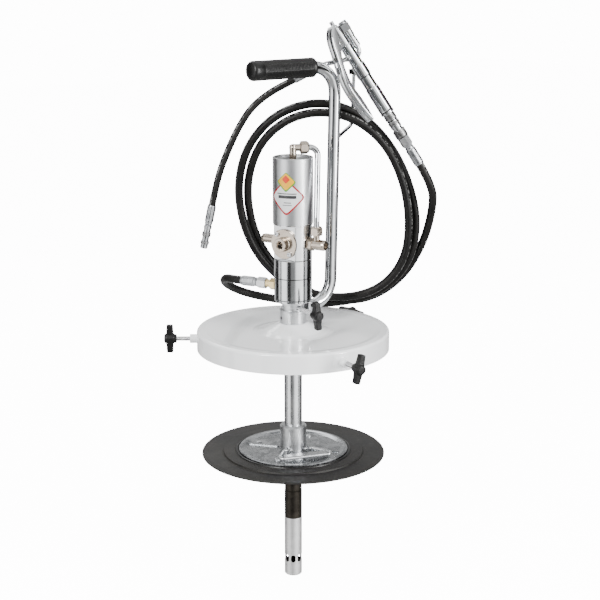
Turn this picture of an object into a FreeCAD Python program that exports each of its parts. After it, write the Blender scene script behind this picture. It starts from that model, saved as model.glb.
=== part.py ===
import FreeCAD, Part
import math
import os

import Sketcher
from FreeCAD import Matrix, Placement, Rotation, Vector

# Air-operated drum grease pump kit: drum cover with three clamp screws, piston pump with suction stem,
# follower plate, carrying handle, coiled delivery hose and control gun with a whip hose.
# Frame: millimetres, +Z up along the pump axis, origin where the pump axis meets the drum seat plane
# (underside of the cover), +X from the pump axis towards the carrying handle's upright.

doc = FreeCAD.newDocument("drum_grease_pump")
sheet = doc.addObject("Spreadsheet::Sheet", "dims")


class Dim:
    """A sheet cell, or arithmetic on cells: a number now and an expression for the document."""

    def __init__(self, value, text):
        self.value = float(value)
        self.text = text

    @staticmethod
    def of(x):
        return x if isinstance(x, Dim) else Dim(float(x), repr(float(x)))

    def __add__(self, o):
        o = Dim.of(o)
        return Dim(self.value + o.value, "(%s + %s)" % (self.text, o.text))

    __radd__ = __add__

    def __sub__(self, o):
        o = Dim.of(o)
        return Dim(self.value - o.value, "(%s - %s)" % (self.text, o.text))

    def __rsub__(self, o):
        return Dim.of(o) - self

    def __mul__(self, o):
        o = Dim.of(o)
        return Dim(self.value * o.value, "(%s * %s)" % (self.text, o.text))

    __rmul__ = __mul__

    def __truediv__(self, o):
        o = Dim.of(o)
        return Dim(self.value / o.value, "(%s / %s)" % (self.text, o.text))

    def __neg__(self):
        return Dim(-self.value, "(0 - %s)" % self.text)


def num(x):
    return x.value if isinstance(x, Dim) else float(x)


ROW = [0]


def cell(alias, value, note):
    ROW[0] += 1
    n = ROW[0]
    sheet.set("A%d" % n, note)
    sheet.set("B%d" % n, str(value))
    sheet.setAlias("B%d" % n, alias)
    return Dim(value, "dims." + alias)


# ---------------------------------------------------------------- driving dimensions
cover_rad = cell("cover_rad", 160.0, "drum cover outer radius")
sheet_t = cell("sheet_t", 2.0, "cover sheet thickness")
skirt_low = cell("skirt_low", 31.0, "skirt depth below the seat plane")
hub_top = cell("hub_top", 13.0, "top of the cover's raised centre")
stem_rad = cell("stem_rad", 15.0, "suction stem outer radius")
stem_wall = cell("stem_wall", 3.0, "suction stem wall")
stem_gap = cell("stem_gap", 0.08, "running gap on the stem")
collar_rad = cell("collar_rad", 22.2, "cover collar radius")
neck_rad = cell("neck_rad", 18.5, "cover collar neck radius")
collar_top = cell("collar_top", 35.0, "top of the collar's wide part")
neck_top = cell("neck_top", 46.0, "top of the collar's neck")
body_low = cell("body_low", 50.0, "underside of the pump body")
body_rad = cell("body_rad", 31.25, "pump body radius")
body_top = cell("body_top", 121.4, "joint of pump body and valve body")
valve_top = cell("valve_top", 180.4, "top of the valve body")
barrel_rad = cell("barrel_rad", 33.0, "air cylinder outer radius")
barrel_wall = cell("barrel_wall", 2.5, "air cylinder wall")
barrel_top = cell("barrel_top", 289.0, "top edge of the air cylinder")
head_top = cell("head_top", 284.5, "outer face of the cylinder head")
head_low = cell("head_low", 277.0, "inner face of the cylinder head")
rod_rad = cell("rod_rad", 5.0, "drive rod radius")
run_gap = cell("run_gap", 0.06, "running gap on rod and pins")
port_z = cell("port_z", 149.0, "height of the air ports")
outlet_z = cell("outlet_z", 74.0, "height of the grease outlet")
screw_rad = cell("screw_rad", 4.0, "clamp screw radius, M8")
screw_z = cell("screw_z", 16.0, "depth of the rim screws below the seat plane")
tube_rad = cell("tube_rad", 10.0, "handle tube radius")
tube_wall = cell("tube_wall", 1.5, "handle tube wall")
grip_rad = cell("grip_rad", 16.0, "grip radius")
barrel_low = cell("barrel_low", -332.0, "lower end of the pump barrel")
foot_low = cell("foot_low", -437.5, "lower end of the foot tube")
disc_rad = cell("disc_rad", 154.4, "follower membrane radius")
disc_z = cell("disc_z", -210.0, "top of the follower membrane's inner part")
plate_rad = cell("plate_rad", 92.0, "follower plate radius")
hose_rad = cell("hose_rad", 7.0, "delivery hose radius")
whip_rad = cell("whip_rad", 5.8, "whip hose radius")
air_tube_rad = cell("air_tube_rad", 5.0, "air transfer tube radius")
gun_rad = cell("gun_rad", 10.2, "control gun body radius")

# azimuths about the pump axis, degrees from +X
AZ_INLET, AZ_LINK, AZ_SILENCER, AZ_OUTLET, AZ_TOP = -160.0, -70.0, 110.0, 118.0, -26.0
AZ_RIM = (144.0, -96.0, 24.0)
AZ_COLLAR = -96.0
AZ_GRUB = 172.0

doc.recompute()
NODES = {}


def keep(label, obj):
    obj.Label = label
    NODES[label] = obj
    return obj


# ---------------------------------------------------------------- building helpers
COUNT = [0]


def fresh(stem):
    COUNT[0] += 1
    return "%s_%d" % (stem, COUNT[0])


def origin_plane(body, role):
    for f in body.Origin.OriginFeatures:
        if f.Role == role:
            return f
    raise RuntimeError(role)


def polygon(sk, pts, tag, rounds=()):
    """Closed outline whose corners are held by distances from the sketch origin, bound to the sheet.

    rounds lists (index, radius): that corner is rounded by an arc tangent to its two sides.
    """
    n = len(pts)
    xy = [Vector(num(a), num(b), 0) for a, b in pts]
    fillet = dict(rounds)
    start, end, arcs = list(xy), [xy[(i + 1) % n] for i in range(n)], {}
    for i, r in fillet.items():
        u, w = (xy[i - 1] - xy[i]).normalize(), (xy[(i + 1) % n] - xy[i]).normalize()
        half = u.getAngle(w) / 2
        t = r / math.tan(half)
        p, q = xy[i] + u * t, xy[i] + w * t
        c = xy[i] + (u + w).normalize() * (r / math.sin(half))
        end[(i - 1) % n], start[i] = p, q
        left_turn = (-u).cross(w).z > 0
        a0 = math.atan2(p.y - c.y, p.x - c.x)
        a1 = math.atan2(q.y - c.y, q.x - c.x)
        if not left_turn:
            a0, a1 = a1, a0
        arcs[i] = (Part.ArcOfCircle(Part.Circle(c, Vector(0, 0, 1), r), a0, a1), left_turn)
    first = sk.GeometryCount
    sk.addGeometry([Part.LineSegment(start[i], end[i]) for i in range(n)], False)
    cons, names = [], []
    for i in range(n):
        prev = first + (i - 1) % n
        if i in arcs:
            arc, left_turn = arcs[i]
            g = sk.addGeometry(arc, False)
            corner = sk.addGeometry(Part.Point(xy[i]), True)
            at_p, at_q = (1, 2) if left_turn else (2, 1)
            cons += [
                Sketcher.Constraint("Tangent", prev, 2, g, at_p),
                Sketcher.Constraint("Tangent", first + i, 1, g, at_q),
                Sketcher.Constraint("PointOnObject", corner, 1, prev),
                Sketcher.Constraint("PointOnObject", corner, 1, first + i),
                Sketcher.Constraint("Radius", g, fillet[i]),
            ]
            names += [None] * 5
            held = (corner, 1)
        else:
            cons.append(Sketcher.Constraint("Coincident", prev, 2, first + i, 1))
            names.append(None)
            held = (first + i, 1)
        for k, axis, kind in ((0, -2, "DistanceX"), (1, -1, "DistanceY")):
            v = (xy[i].x, xy[i].y)[k]
            if abs(v) < 1e-9:
                cons.append(Sketcher.Constraint("PointOnObject", held[0], held[1], axis))
                names.append(None)
            else:
                cons.append(Sketcher.Constraint(kind, -1, 1, held[0], held[1], v))
                names.append((i, k))
    base = sk.ConstraintCount
    sk.addConstraint(cons)
    for j, nm in enumerate(names):
        if nm is None:
            continue
        i, k = nm
        d = pts[i][k]
        if isinstance(d, Dim):
            cname = "%s%d%s" % (tag, i, "xy"[k])
            sk.renameConstraint(base + j, cname)
            sk.setExpression("Constraints." + cname, d.text)


def lathe(name, pts, rounds=()):
    """A turned piece: the (radius, height) outline revolved about Z. rounds lists (radius, height, fillet)."""
    body = doc.addObject("PartDesign::Body", fresh(name))
    sk = body.newObject("Sketcher::SketchObject", fresh(name + "_outline"))
    sk.AttachmentSupport = [(origin_plane(body, "XZ_Plane"), "")]
    sk.MapMode = "FlatFace"
    doc.recompute([sk])
    picked = []
    for rr, zz, fr in rounds:
        near = [i for i, (a, b) in enumerate(pts) if abs(num(a) - num(rr)) < 0.01 and abs(num(b) - num(zz)) < 0.01]
        if len(near) != 1:
            raise RuntimeError("%s: no corner at %s %s" % (name, num(rr), num(zz)))
        picked.append((near[0], fr))
    polygon(sk, pts, "c", picked)
    rev = body.newObject("PartDesign::Revolution", fresh(name + "_turn"))
    rev.Profile = sk
    rev.ReferenceAxis = (sk, ["V_Axis"])
    rev.Angle = 360.0
    body.Tip = rev
    doc.recompute()
    return body


def slab(name, pts, depth, low=0.0):
    """A flat piece: the (x, y) outline padded along Z from low to low + depth."""
    body = doc.addObject("PartDesign::Body", fresh(name))
    sk = body.newObject("Sketcher::SketchObject", fresh(name + "_outline"))
    sk.AttachmentSupport = [(origin_plane(body, "XY_Plane"), "")]
    sk.MapMode = "FlatFace"
    sk.AttachmentOffset = Placement(Vector(0, 0, num(low)), Rotation())
    doc.recompute([sk])
    polygon(sk, pts, "c")
    pad = body.newObject("PartDesign::Pad", fresh(name + "_pad"))
    pad.Profile = sk
    pad.Length = num(depth)
    if isinstance(depth, Dim):
        pad.setExpression("Length", depth.text)
    body.Tip = pad
    doc.recompute()
    return body


def bind(obj, prop, d):
    setattr(obj, prop, num(d))
    if isinstance(d, Dim):
        obj.setExpression(prop, d.text)


def aim(direction, at=(0, 0, 0), x_hint=None):
    """Placement that takes local +Z to direction and local +X as near as it can to x_hint."""
    z = Vector(*direction).normalize()
    h = Vector(*x_hint) if x_hint is not None else (Vector(0, 0, 1) if abs(z.z) < 0.9 else Vector(1, 0, 0))
    x = (h - z * h.dot(z)).normalize()
    y = z.cross(x)
    m = Matrix(x.x, y.x, z.x, at[0], x.y, y.y, z.y, at[1], x.z, y.z, z.z, at[2], 0, 0, 0, 1)
    return Placement(m)


def rod(name, radius, length, place=None):
    o = doc.addObject("Part::Cylinder", fresh(name))
    bind(o, "Radius", radius)
    bind(o, "Height", length)
    if place is not None:
        o.Placement = place
    return o


def block(name, x, y, z, corner=(0, 0, 0), place=None):
    o = doc.addObject("Part::Box", fresh(name))
    bind(o, "Length", x)
    bind(o, "Width", y)
    bind(o, "Height", z)
    p = Placement(Vector(*[num(c) for c in corner]), Rotation())
    o.Placement = place.multiply(p) if place is not None else p
    return o


def ball(name, radius, at=(0, 0, 0)):
    o = doc.addObject("Part::Sphere", fresh(name))
    bind(o, "Radius", radius)
    o.Placement = Placement(Vector(*at), Rotation())
    return o


def hexagon(name, across_flats, length, place=None):
    o = doc.addObject("Part::Prism", fresh(name))
    o.Polygon = 6
    o.Circumradius = num(across_flats) / math.sqrt(3.0)
    if isinstance(across_flats, Dim):
        o.setExpression("Circumradius", across_flats.text + " / 1.7320508")
    bind(o, "Height", length)
    if place is not None:
        o.Placement = place
    return o


def cut(name, base, *tools):
    for t in tools:
        o = doc.addObject("Part::Cut", fresh(name))
        o.Base, o.Tool = base, t
        base = o
    return base


def fuse(name, *parts):
    o = doc.addObject("Part::MultiFuse", fresh(name))
    o.Shapes = list(parts)
    return o


def common(name, *parts):
    o = doc.addObject("Part::MultiCommon", fresh(name))
    o.Shapes = list(parts)
    return o


def group(name, parts):
    o = doc.addObject("Part::Compound", fresh(name))
    o.Links = list(parts)
    return o


def placed(obj, place):
    obj.Placement = place
    return obj


def ring_dir(az):
    return Vector(math.cos(math.radians(az)), math.sin(math.radians(az)), 0)


def radial(az, r, z, x_hint=(0, 0, 1)):
    """Placement on the pump's side: local +Z points outwards at azimuth az, starting at radius r, height z."""
    d = ring_dir(az)
    return aim((d.x, d.y, 0), (d.x * r, d.y * r, num(z)), x_hint)


def route_wire(pts, radii=None):
    """Straight runs joined by tangent arcs. Without radii each arc is as large as its two runs allow."""
    p = [Vector(*q) for q in pts]
    edges, here, out = [], p[0], []
    for i in range(1, len(p) - 1):
        a, b = p[i - 1] - p[i], p[i + 1] - p[i]
        la, lb = a.Length, b.Length
        a.normalize()
        b.normalize()
        turn = math.pi - a.getAngle(b)
        if radii is None:
            t = 0.45 * min(la, lb)
            r = t / math.tan(turn / 2)
        else:
            r = radii[i - 1]
            t = r * math.tan(turn / 2)
        out.append((round(math.degrees(turn), 1), round(r, 1)))
        s, e = p[i] + a * t, p[i] + b * t
        mid_dir = (a + b).normalize()
        mid = p[i] + mid_dir * (math.hypot(r, t) - r)
        if (s - here).Length > 1e-6:
            edges.append(Part.LineSegment(here, s).toShape())
        edges.append(Part.Arc(s, mid, e).toShape())
        here = e
    if (p[-1] - here).Length > 1e-6:
        edges.append(Part.LineSegment(here, p[-1]).toShape())
    return Part.Wire(edges), out


def pipe(name, pts, radius, radii=None):
    """A round bar along a route, as a document sweep of a bound circle along the route's wire."""
    wire, _ = route_wire(pts, radii)
    spine = doc.addObject("Part::Feature", fresh(name + "_route"))
    spine.Shape = wire
    c = doc.addObject("Part::Circle", fresh(name + "_section"))
    bind(c, "Radius", radius)
    d = Vector(*pts[1]) - Vector(*pts[0])
    c.Placement = aim((d.x, d.y, d.z), pts[0])
    doc.recompute([spine, c])
    s = doc.addObject("Part::Sweep", fresh(name))
    s.Sections = [c]
    s.Spine = (spine, ["Edge%d" % (i + 1) for i in range(len(wire.Edges))])
    s.Solid = True
    s.Frenet = False
    doc.recompute([s])
    return s


def hose(name, pts, radius):
    """A hose: one tube along straight runs and tangent arcs, checked against section times length."""
    wire, bends = route_wire(pts)
    d = (Vector(*pts[1]) - Vector(*pts[0])).normalize()
    ring = Part.Wire([Part.Circle(Vector(*pts[0]), d, num(radius)).toShape()])
    shape = wire.makePipeShell([ring], True, False)
    if shape.ShapeType != "Solid":
        shape = shape.Solids[0]
    want = math.pi * num(radius) ** 2 * wire.Length
    print("%s: length %.1f, volume ratio %.5f, turn and radius of each bend: %s" % (name, wire.Length, shape.Volume / want, bends))
    if abs(shape.Volume / want - 1) > 0.005:
        raise RuntimeError(name + ": tube volume differs from section times length")
    o = doc.addObject("Part::Feature", fresh(name))
    o.Shape = shape
    return o


# ================================================================ drum cover
R, T = cover_rad, sheet_t
cover = lathe(
    "cover",
    [
        (stem_rad + 1.0, hub_top - T),
        (23.4, hub_top - T),
        (49.2, -0.9),
        (60.0, -3.3),
        (68.0, -3.8),
        (138.0, -0.8),
        (146.0, 0.0),
        (R - T, 0.0),
        (R - T, -skirt_low),
        (R, -skirt_low),
        (R, T),
        (146.0, T),
        (138.0, T - 0.8),
        (68.0, T - 3.8),
        (60.0, T - 3.3),
        (50.0, T - 0.9),
        (24.2, hub_top),
        (stem_rad + 1.0, hub_top),
    ],
    rounds=[(R, T, 4.5), (R - T, 0.0, 2.5), (60.0, T - 3.3, 8.0), (50.0, T - 0.9, 10.0), (24.2, hub_top, 3.0)],
)
holes = [rod("rim_hole", screw_rad + 0.4, 20.0, radial(a, 150.0, -screw_z)) for a in AZ_RIM]
pressing = cut("pressing", cover, *holes)
# one pressing, drawn as its top and four quarters of its skirt, which meet face to face
SKIRT_Z = -2.6
skirt_zone = cut("skirt_zone", rod("skirt_outer", 170.0, 60.0, Placement(Vector(0, 0, SKIRT_Z - 60.0), Rotation())), rod("skirt_inner", 150.0, 70.0, Placement(Vector(0, 0, SKIRT_Z - 65.0), Rotation())))
cover_parts = [cut("cover_top", pressing, skirt_zone)]
for qx, qy in ((0.0, 0.0), (-170.0, 0.0), (-170.0, -170.0), (0.0, -170.0)):
    cover_parts.append(common("skirt_quarter", pressing, skirt_zone, block("quarter_zone", 170.0, 170.0, 60.0, (qx, qy, SKIRT_Z - 60.0))))
keep("drum_cover", group("drum_cover", cover_parts))

bosses = []
for a in AZ_RIM:
    outer = rod("boss", 7.5, 13.5, radial(a, 158.2, -screw_z))
    bore = rod("boss_bore", screw_rad + run_gap, 20.0, radial(a, 156.0, -screw_z))
    skin = rod("boss_seat", cover_rad + 0.02, 60.0, Placement(Vector(0, 0, -40), Rotation()))
    bosses.append(cut("boss", outer, skin, bore))
keep("cover_bosses", group("cover_bosses", bosses))

collar = lathe(
    "collar",
    [
        (stem_rad + stem_gap, hub_top + 0.02),
        (collar_rad - 0.8, hub_top + 0.02),
        (collar_rad, hub_top + 0.8),
        (collar_rad, collar_top - 0.8),
        (collar_rad - 0.8, collar_top),
        (neck_rad, collar_top),
        (neck_rad, neck_top - 0.5),
        (neck_rad - 0.5, neck_top),
        (stem_rad + stem_gap, neck_top),
    ],
)
keep(
    "cover_collar",
    cut(
        "cover_collar",
        collar,
        rod("collar_tap", screw_rad + run_gap, 12.0, radial(AZ_COLLAR, 12.0, 40.5)),
        rod("grub_hole", 2.8, 5.0, radial(AZ_GRUB, 18.2, 22.0)),
    ),
)


# ---------------------------------------------------------------- wing screws
def knob_shape(name):
    """Two-winged hand knob: hub along local +Z from 0 to 21, wings along local X."""
    hub = lathe(
        name + "_hub",
        [(0, 17.5), (screw_rad + 0.03, 17.5), (screw_rad + 0.03, 0), (6.6, 0), (8.5, 4.0), (8.5, 17.0), (7.0, 20.0), (4.0, 21.0), (0, 21.0)],
    )
    wing = slab(
        name + "_wing",
        [(-23.5, -3.4), (-21.5, -4.8), (-8.0, -6.6), (8.0, -6.6), (21.5, -4.8), (23.5, -3.4), (23.5, 3.4), (21.5, 4.8), (8.0, 6.6), (-8.0, 6.6), (-21.5, 4.8), (-23.5, 3.4)],
        11.5,
        5.5,
    )
    clear = rod(name + "_clear", screw_rad + 0.03, 17.5)
    return cut(name, fuse(name, hub, wing), clear)


def stud_shape(name, length):
    return lathe(name, [(0, 0), (2.6, 0), (screw_rad, 1.6), (screw_rad, length - 0.8), (screw_rad - 0.8, length), (0, length)])


for i, a in enumerate(AZ_RIM):
    keep("rim_stud_%d" % (i + 1), placed(stud_shape("rim_stud", 57.0), radial(a, 153.5, -screw_z)))
    turn = ((0, 0, 1), (0.25, 0.0, 1.0), None)[i]
    hint = (0, 0, 1)
    if i == 1:
        d = ring_dir(a + 90)
        hint = (d.x * 0.22, d.y * 0.22, 1.0)
    if i == 2:
        d = ring_dir(a + 90)
        hint = (d.x, d.y, 0.12)
    keep("rim_knob_%d" % (i + 1), placed(knob_shape("rim_knob"), radial(a, 194.0, -screw_z, hint)))
keep("collar_stud", placed(stud_shape("collar_stud", 67.5), radial(AZ_COLLAR, 15.35, 40.5)))
dd = ring_dir(AZ_COLLAR + 90)
keep("collar_knob", placed(knob_shape("collar_knob"), radial(AZ_COLLAR, 66.5, 40.5, (dd.x * -0.1, dd.y * -0.1, 1.0))))

# ================================================================ pump unit
SOCKET_TOP, GALLERY_TOP, GLAND_TOP = 62.0, 96.0, 118.0
low_body = lathe(
    "low_body",
    [
        (stem_rad + 0.03, body_low),
        (body_rad - 1.2, body_low),
        (body_rad - 0.4, body_low + 0.8),
        (body_rad - 0.4, body_low + 3.2),
        (body_rad - 1.4, body_low + 3.8),
        (body_rad - 1.4, body_low + 4.6),
        (body_rad, body_low + 5.2),
        (body_rad, 89.9),
        (body_rad - 0.7, 90.3),
        (body_rad - 0.7, 91.0),
        (body_rad, 91.4),
        (body_rad, body_top - 0.9),
        (body_rad - 0.8, body_top),
        (rod_rad + run_gap, body_top),
        (rod_rad + run_gap, GLAND_TOP),
        (12.02, GLAND_TOP),
        (12.02, GALLERY_TOP),
        (11.0, GALLERY_TOP),
        (11.0, SOCKET_TOP),
        (stem_rad + 0.03, SOCKET_TOP),
    ],
)
keep(
    "pump_body",
    cut(
        "pump_body",
        low_body,
        rod("outlet_port", 4.0, 30.0, radial(AZ_OUTLET, 8.0, outlet_z)),
        rod("outlet_socket", 6.6, 20.0, radial(AZ_OUTLET, 24.0, outlet_z)),
    ),
)
keep(
    "rod_gland",
    lathe("rod_gland", [(rod_rad + run_gap, GALLERY_TOP + 0.02), (12.0, GALLERY_TOP + 0.02), (12.0, GLAND_TOP - 0.02), (rod_rad + run_gap, GLAND_TOP - 0.02)]),
)
valve = lathe(
    "valve_body",
    [
        (rod_rad + run_gap, body_top + 0.02),
        (body_rad - 0.8, body_top + 0.02),
        (body_rad, body_top + 0.9),
        (body_rad, valve_top - 3.0),
        (barrel_rad - 0.6, valve_top - 2.4),
        (barrel_rad - 0.6, valve_top),
        (rod_rad + run_gap, valve_top),
    ],
)
flat = block("inlet_flat", 60.0, 60.0, 20.0, (-30, -30, 0), radial(AZ_INLET, 24.0, port_z))
link_hole = rod("link_hole", 6.0, 12.0, radial(AZ_LINK, 24.0, port_z))
sil_hole = rod("silencer_hole", 6.0, 12.0, radial(AZ_SILENCER, 24.0, port_z))
in_hole = rod("inlet_hole", 4.0, 14.0, radial(AZ_INLET, 12.0, port_z))
sp = ring_dir(20.0) * 20.0
spool_bore = rod("spool_bore", 4.06, 60.0, Placement(Vector(sp.x, sp.y, 130.0), Rotation()))
keep("valve_body", cut("valve_body", valve, flat, link_hole, sil_hole, in_hole, spool_bore))
keep(
    "air_spool",
    placed(
        lathe("air_spool", [(0, 0), (4.0, 0), (4.0, 7.0), (2.4, 7.6), (2.4, 11.4), (4.0, 12.0), (4.0, 17.0), (2.4, 17.6), (2.4, 21.4), (4.0, 22.0), (4.0, 28.0), (0, 28.0)]),
        Placement(Vector(sp.x, sp.y, 130.5), Rotation()),
    ),
)
keep(
    "air_cylinder",
    lathe(
        "air_cylinder",
        [
            (barrel_rad - barrel_wall, valve_top + 0.02),
            (barrel_rad - 0.3, valve_top + 0.02),
            (barrel_rad, valve_top + 0.4),
            (barrel_rad, barrel_top - 0.8),
            (barrel_rad - 0.8, barrel_top),
            (barrel_rad - barrel_wall, barrel_top),
        ],
    ),
)
keep(
    "cylinder_head",
    lathe(
        "cylinder_head",
        [(4.6, head_low), (barrel_rad - barrel_wall - 0.02, head_low), (barrel_rad - barrel_wall - 0.02, head_top), (22.0, head_top), (21.0, head_top - 0.8), (9.0, head_top - 0.8), (8.0, head_top), (4.6, head_top)],
    ),
)

# ---------------------------------------------------------------- air ports and transfer line
flange = lathe("inlet_flange", [(5.9, 0), (24.0, 0), (24.5, 0.6), (24.5, 3.4), (23.9, 4.0), (12.2, 4.0), (11.6, 5.0), (11.4, 14.6), (10.6, 15.5), (7.2, 15.5), (5.9, 14.2)])
FL = radial(AZ_INLET, 24.02, port_z)
screw_at = [(math.cos(t) * 19.8, math.sin(t) * 19.8) for t in (math.radians(-52 + 90), math.radians(128 + 90))]
fl_holes = []
for px, py in screw_at:
    fl_holes.append(rod("flange_hole", 2.6, 10.0, Placement(Vector(px, py, -2), Rotation())))
keep("inlet_flange", placed(cut("inlet_flange", flange, *fl_holes), FL))
screws = []
for px, py in screw_at:
    sc = lathe("flange_screw", [(0, -0.0), (2.55, -0.0), (2.55, 4.02), (4.2, 4.02), (4.2, 6.2), (3.4, 6.9), (2.0, 6.9), (2.0, 5.2), (0, 5.2)])
    sc.Placement = FL.multiply(Placement(Vector(px, py, 0), Rotation()))
    screws.append(sc)
keep("flange_screws", group("flange_screws", screws))
keep(
    "silencer",
    placed(
        lathe("silencer", [(0, 0), (5.95, 0), (5.95, 7.4), (8.0, 7.6), (8.0, 12.0), (7.6, 12.4), (7.6, 31.0), (6.4, 35.2), (3.6, 37.6), (0, 38.2)]),
        radial(AZ_SILENCER, 24.2, port_z),
    ),
)

# link fitting: hex against the valve body, tee body with a plugged end, stub rising to the lower nut
LINK = radial(AZ_LINK, 24.2, port_z)
hexa = hexagon("link_hex", 19.0, 9.0, Placement(Vector(0, 0, 7.4), Rotation()))
spig = rod("link_spigot", 5.95, 8.0)
barrel = lathe("link_barrel", [(0, 16.0), (8.4, 16.0), (8.8, 17.0), (8.8, 36.0), (8.0, 39.0), (6.9, 40.0), (4.6, 40.0), (4.6, 37.0), (0, 37.0)])
stub = rod("link_stub", 5.6, 15.6, aim((1, 0, 0), (0, 0, 21.8)))
keep("link_fitting", placed(fuse("link_fitting", hexa, spig, barrel, stub), LINK))
d56 = ring_dir(AZ_LINK)
LOWX, LOWY = d56.x * 46.0, d56.y * 46.0
dtop = ring_dir(AZ_TOP)
ELBOW_Z = 303.5
elbow_v = rod("elbow_riser", 5.8, 23.0, Placement(Vector(0, 0, 284.52), Rotation()))
elbow_s = rod("elbow_spigot", 4.55, 7.0, Placement(Vector(0, 0, 278.0), Rotation()))
elbow_b = ball("elbow_knee", 6.2, (0, 0, ELBOW_Z))
elbow_h = rod("elbow_arm", 5.8, 12.0, aim((dtop.x, dtop.y, 0), (0, 0, ELBOW_Z)))
elbow_c = block("elbow_trim", 40, 40, 10, (-20, -20, 309.6))
keep("top_elbow", cut("top_elbow", fuse("top_elbow", elbow_v, elbow_s, elbow_b, elbow_h), elbow_c))


def tube_nut(name, place):
    h = hexagon(name + "_hex", 18.5, 14.0)
    cone = lathe(name + "_cone", [(0, -0.1), (9.0, -0.1), (10.9, 1.6), (10.9, 10.0), (7.6, 14.4), (0, 14.4)])
    bore = rod(name + "_bore", air_tube_rad + 0.05, 20.0, Placement(Vector(0, 0, -2), Rotation()))
    return placed(cut(name, common(name, h, cone), bore), place)


nut_top = tube_nut("top_nut", aim((dtop.x, dtop.y, 0), (dtop.x * 12.05, dtop.y * 12.05, ELBOW_Z), (0, 0, 1)))
nut_low = tube_nut("low_nut", aim((0, 0, 1), (LOWX, LOWY, 164.7)))
keep("tube_nuts", group("tube_nuts", [nut_top, nut_low]))
TOPX, TOPY = dtop.x * 41.0, dtop.y * 41.0
air_route = [
    (dtop.x * 12.2, dtop.y * 12.2, ELBOW_Z),
    (TOPX, TOPY, ELBOW_Z),
    (LOWX, LOWY, 192.0),
    (LOWX, LOWY, 164.8),
]
solid_air = pipe("air_tube", air_route, air_tube_rad, [13.0, 30.0])
keep("air_tube", cut("air_tube", solid_air, pipe("air_tube_bore", air_route, air_tube_rad - 1.0, [13.0, 30.0])))

# ---------------------------------------------------------------- suction stem, pump barrel, foot
STEM_LOW = -262.0
keep(
    "stem_tube",
    lathe(
        "stem_tube",
        [(stem_rad - stem_wall, STEM_LOW), (stem_rad, STEM_LOW), (stem_rad, SOCKET_TOP - 0.1), (stem_rad - stem_wall, SOCKET_TOP - 0.1)],
    ),
)
PLUNGE = 8.5
keep(
    "pump_barrel",
    lathe(
        "pump_barrel",
        [
            (PLUNGE, -344.0),
            (stem_rad - 2.85, -344.0),
            (stem_rad - 2.85, barrel_low),
            (stem_rad, barrel_low),
            (stem_rad, -283.6),
            (stem_rad - 0.7, -283.0),
            (stem_rad - 0.7, -282.2),
            (stem_rad - 0.3, -281.6),
            (stem_rad - 0.3, STEM_LOW - 0.02),
            (stem_rad - stem_wall - 0.04, STEM_LOW - 0.02),
            (stem_rad - stem_wall - 0.04, -238.0),
            (PLUNGE, -238.0),
        ],
    ),
)
foot = lathe(
    "foot_tube",
    [
        (stem_rad - 2.8, foot_low),
        (stem_rad - 1.6, foot_low),
        (stem_rad, foot_low + 1.6),
        (stem_rad, barrel_low - 0.02),
        (stem_rad - 2.8, barrel_low - 0.02),
    ],
)
slots = []
for k in range(8):
    d = ring_dir(-126.0 + 45.0 * k)
    P = radial(-126.0 + 45.0 * k, 8.0, -406.0)
    up = rod("slot_up", 4.0, 12.0, P.multiply(Placement(Vector(2.6, 0, 0), Rotation())))
    dn = rod("slot_dn", 4.0, 12.0, P.multiply(Placement(Vector(-2.6, 0, 0), Rotation())))
    md = block("slot_mid", 5.2, 8.0, 12.0, (-2.6, -4.0, 0), P)
    slots.append(fuse("slot", up, dn, md))
keep("foot_tube", cut("foot_tube", foot, group("slots", slots)))
keep(
    "foot_seat",
    lathe("foot_seat", [(4.5, -356.0), (stem_rad - 2.85, -356.0), (stem_rad - 2.85, -344.02), (9.0, -344.02), (9.0, -348.0), (4.5, -348.0)]),
)
keep("foot_ball", ball("foot_ball", 6.0, (0, 0, -344.0)))

# ---------------------------------------------------------------- reciprocating set, shown at the bottom of its stroke
PIS_LOW, PIS_TOP = 181.6, 199.6
keep(
    "air_piston",
    lathe(
        "air_piston",
        [
            (4.03, PIS_LOW),
            (barrel_rad - barrel_wall - 0.09, PIS_LOW),
            (barrel_rad - barrel_wall - 0.09, PIS_LOW + 6.0),
            (27.5, PIS_LOW + 6.0),
            (27.5, PIS_LOW + 12.0),
            (barrel_rad - barrel_wall - 0.09, PIS_LOW + 12.0),
            (barrel_rad - barrel_wall - 0.09, PIS_TOP),
            (4.03, PIS_TOP),
        ],
    ),
)
keep(
    "piston_seal",
    lathe("piston_seal", [(27.53, PIS_LOW + 6.03), (barrel_rad - barrel_wall - 0.04, PIS_LOW + 6.03), (barrel_rad - barrel_wall - 0.04, PIS_LOW + 11.97), (27.53, PIS_LOW + 11.97)]),
)
keep(
    "drive_rod",
    lathe("drive_rod", [(0, -330.0), (4.0, -330.0), (4.0, -316.0), (rod_rad, -316.0), (rod_rad, PIS_LOW - 0.02), (4.0, PIS_LOW - 0.02), (4.0, PIS_TOP + 4.0), (0, PIS_TOP + 4.0)]),
)
keep(
    "plunger",
    lathe("plunger", [(4.03, -330.0), (PLUNGE - 0.07, -330.0), (PLUNGE - 0.07, -325.0), (7.6, -324.6), (7.6, -322.6), (PLUNGE - 0.07, -322.2), (PLUNGE - 0.07, -316.02), (4.03, -316.02)]),
)

# ================================================================ follower
Z0 = disc_z
screw_azs = (30.0, -60.0, -150.0, 120.0)
scr_xy = [ring_dir(a) * 64.0 for a in screw_azs]


def clear_holes(zlow, h, r=2.7):
    return [rod("clear", r, h, Placement(Vector(v.x, v.y, zlow), Rotation())) for v in scr_xy]


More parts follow.
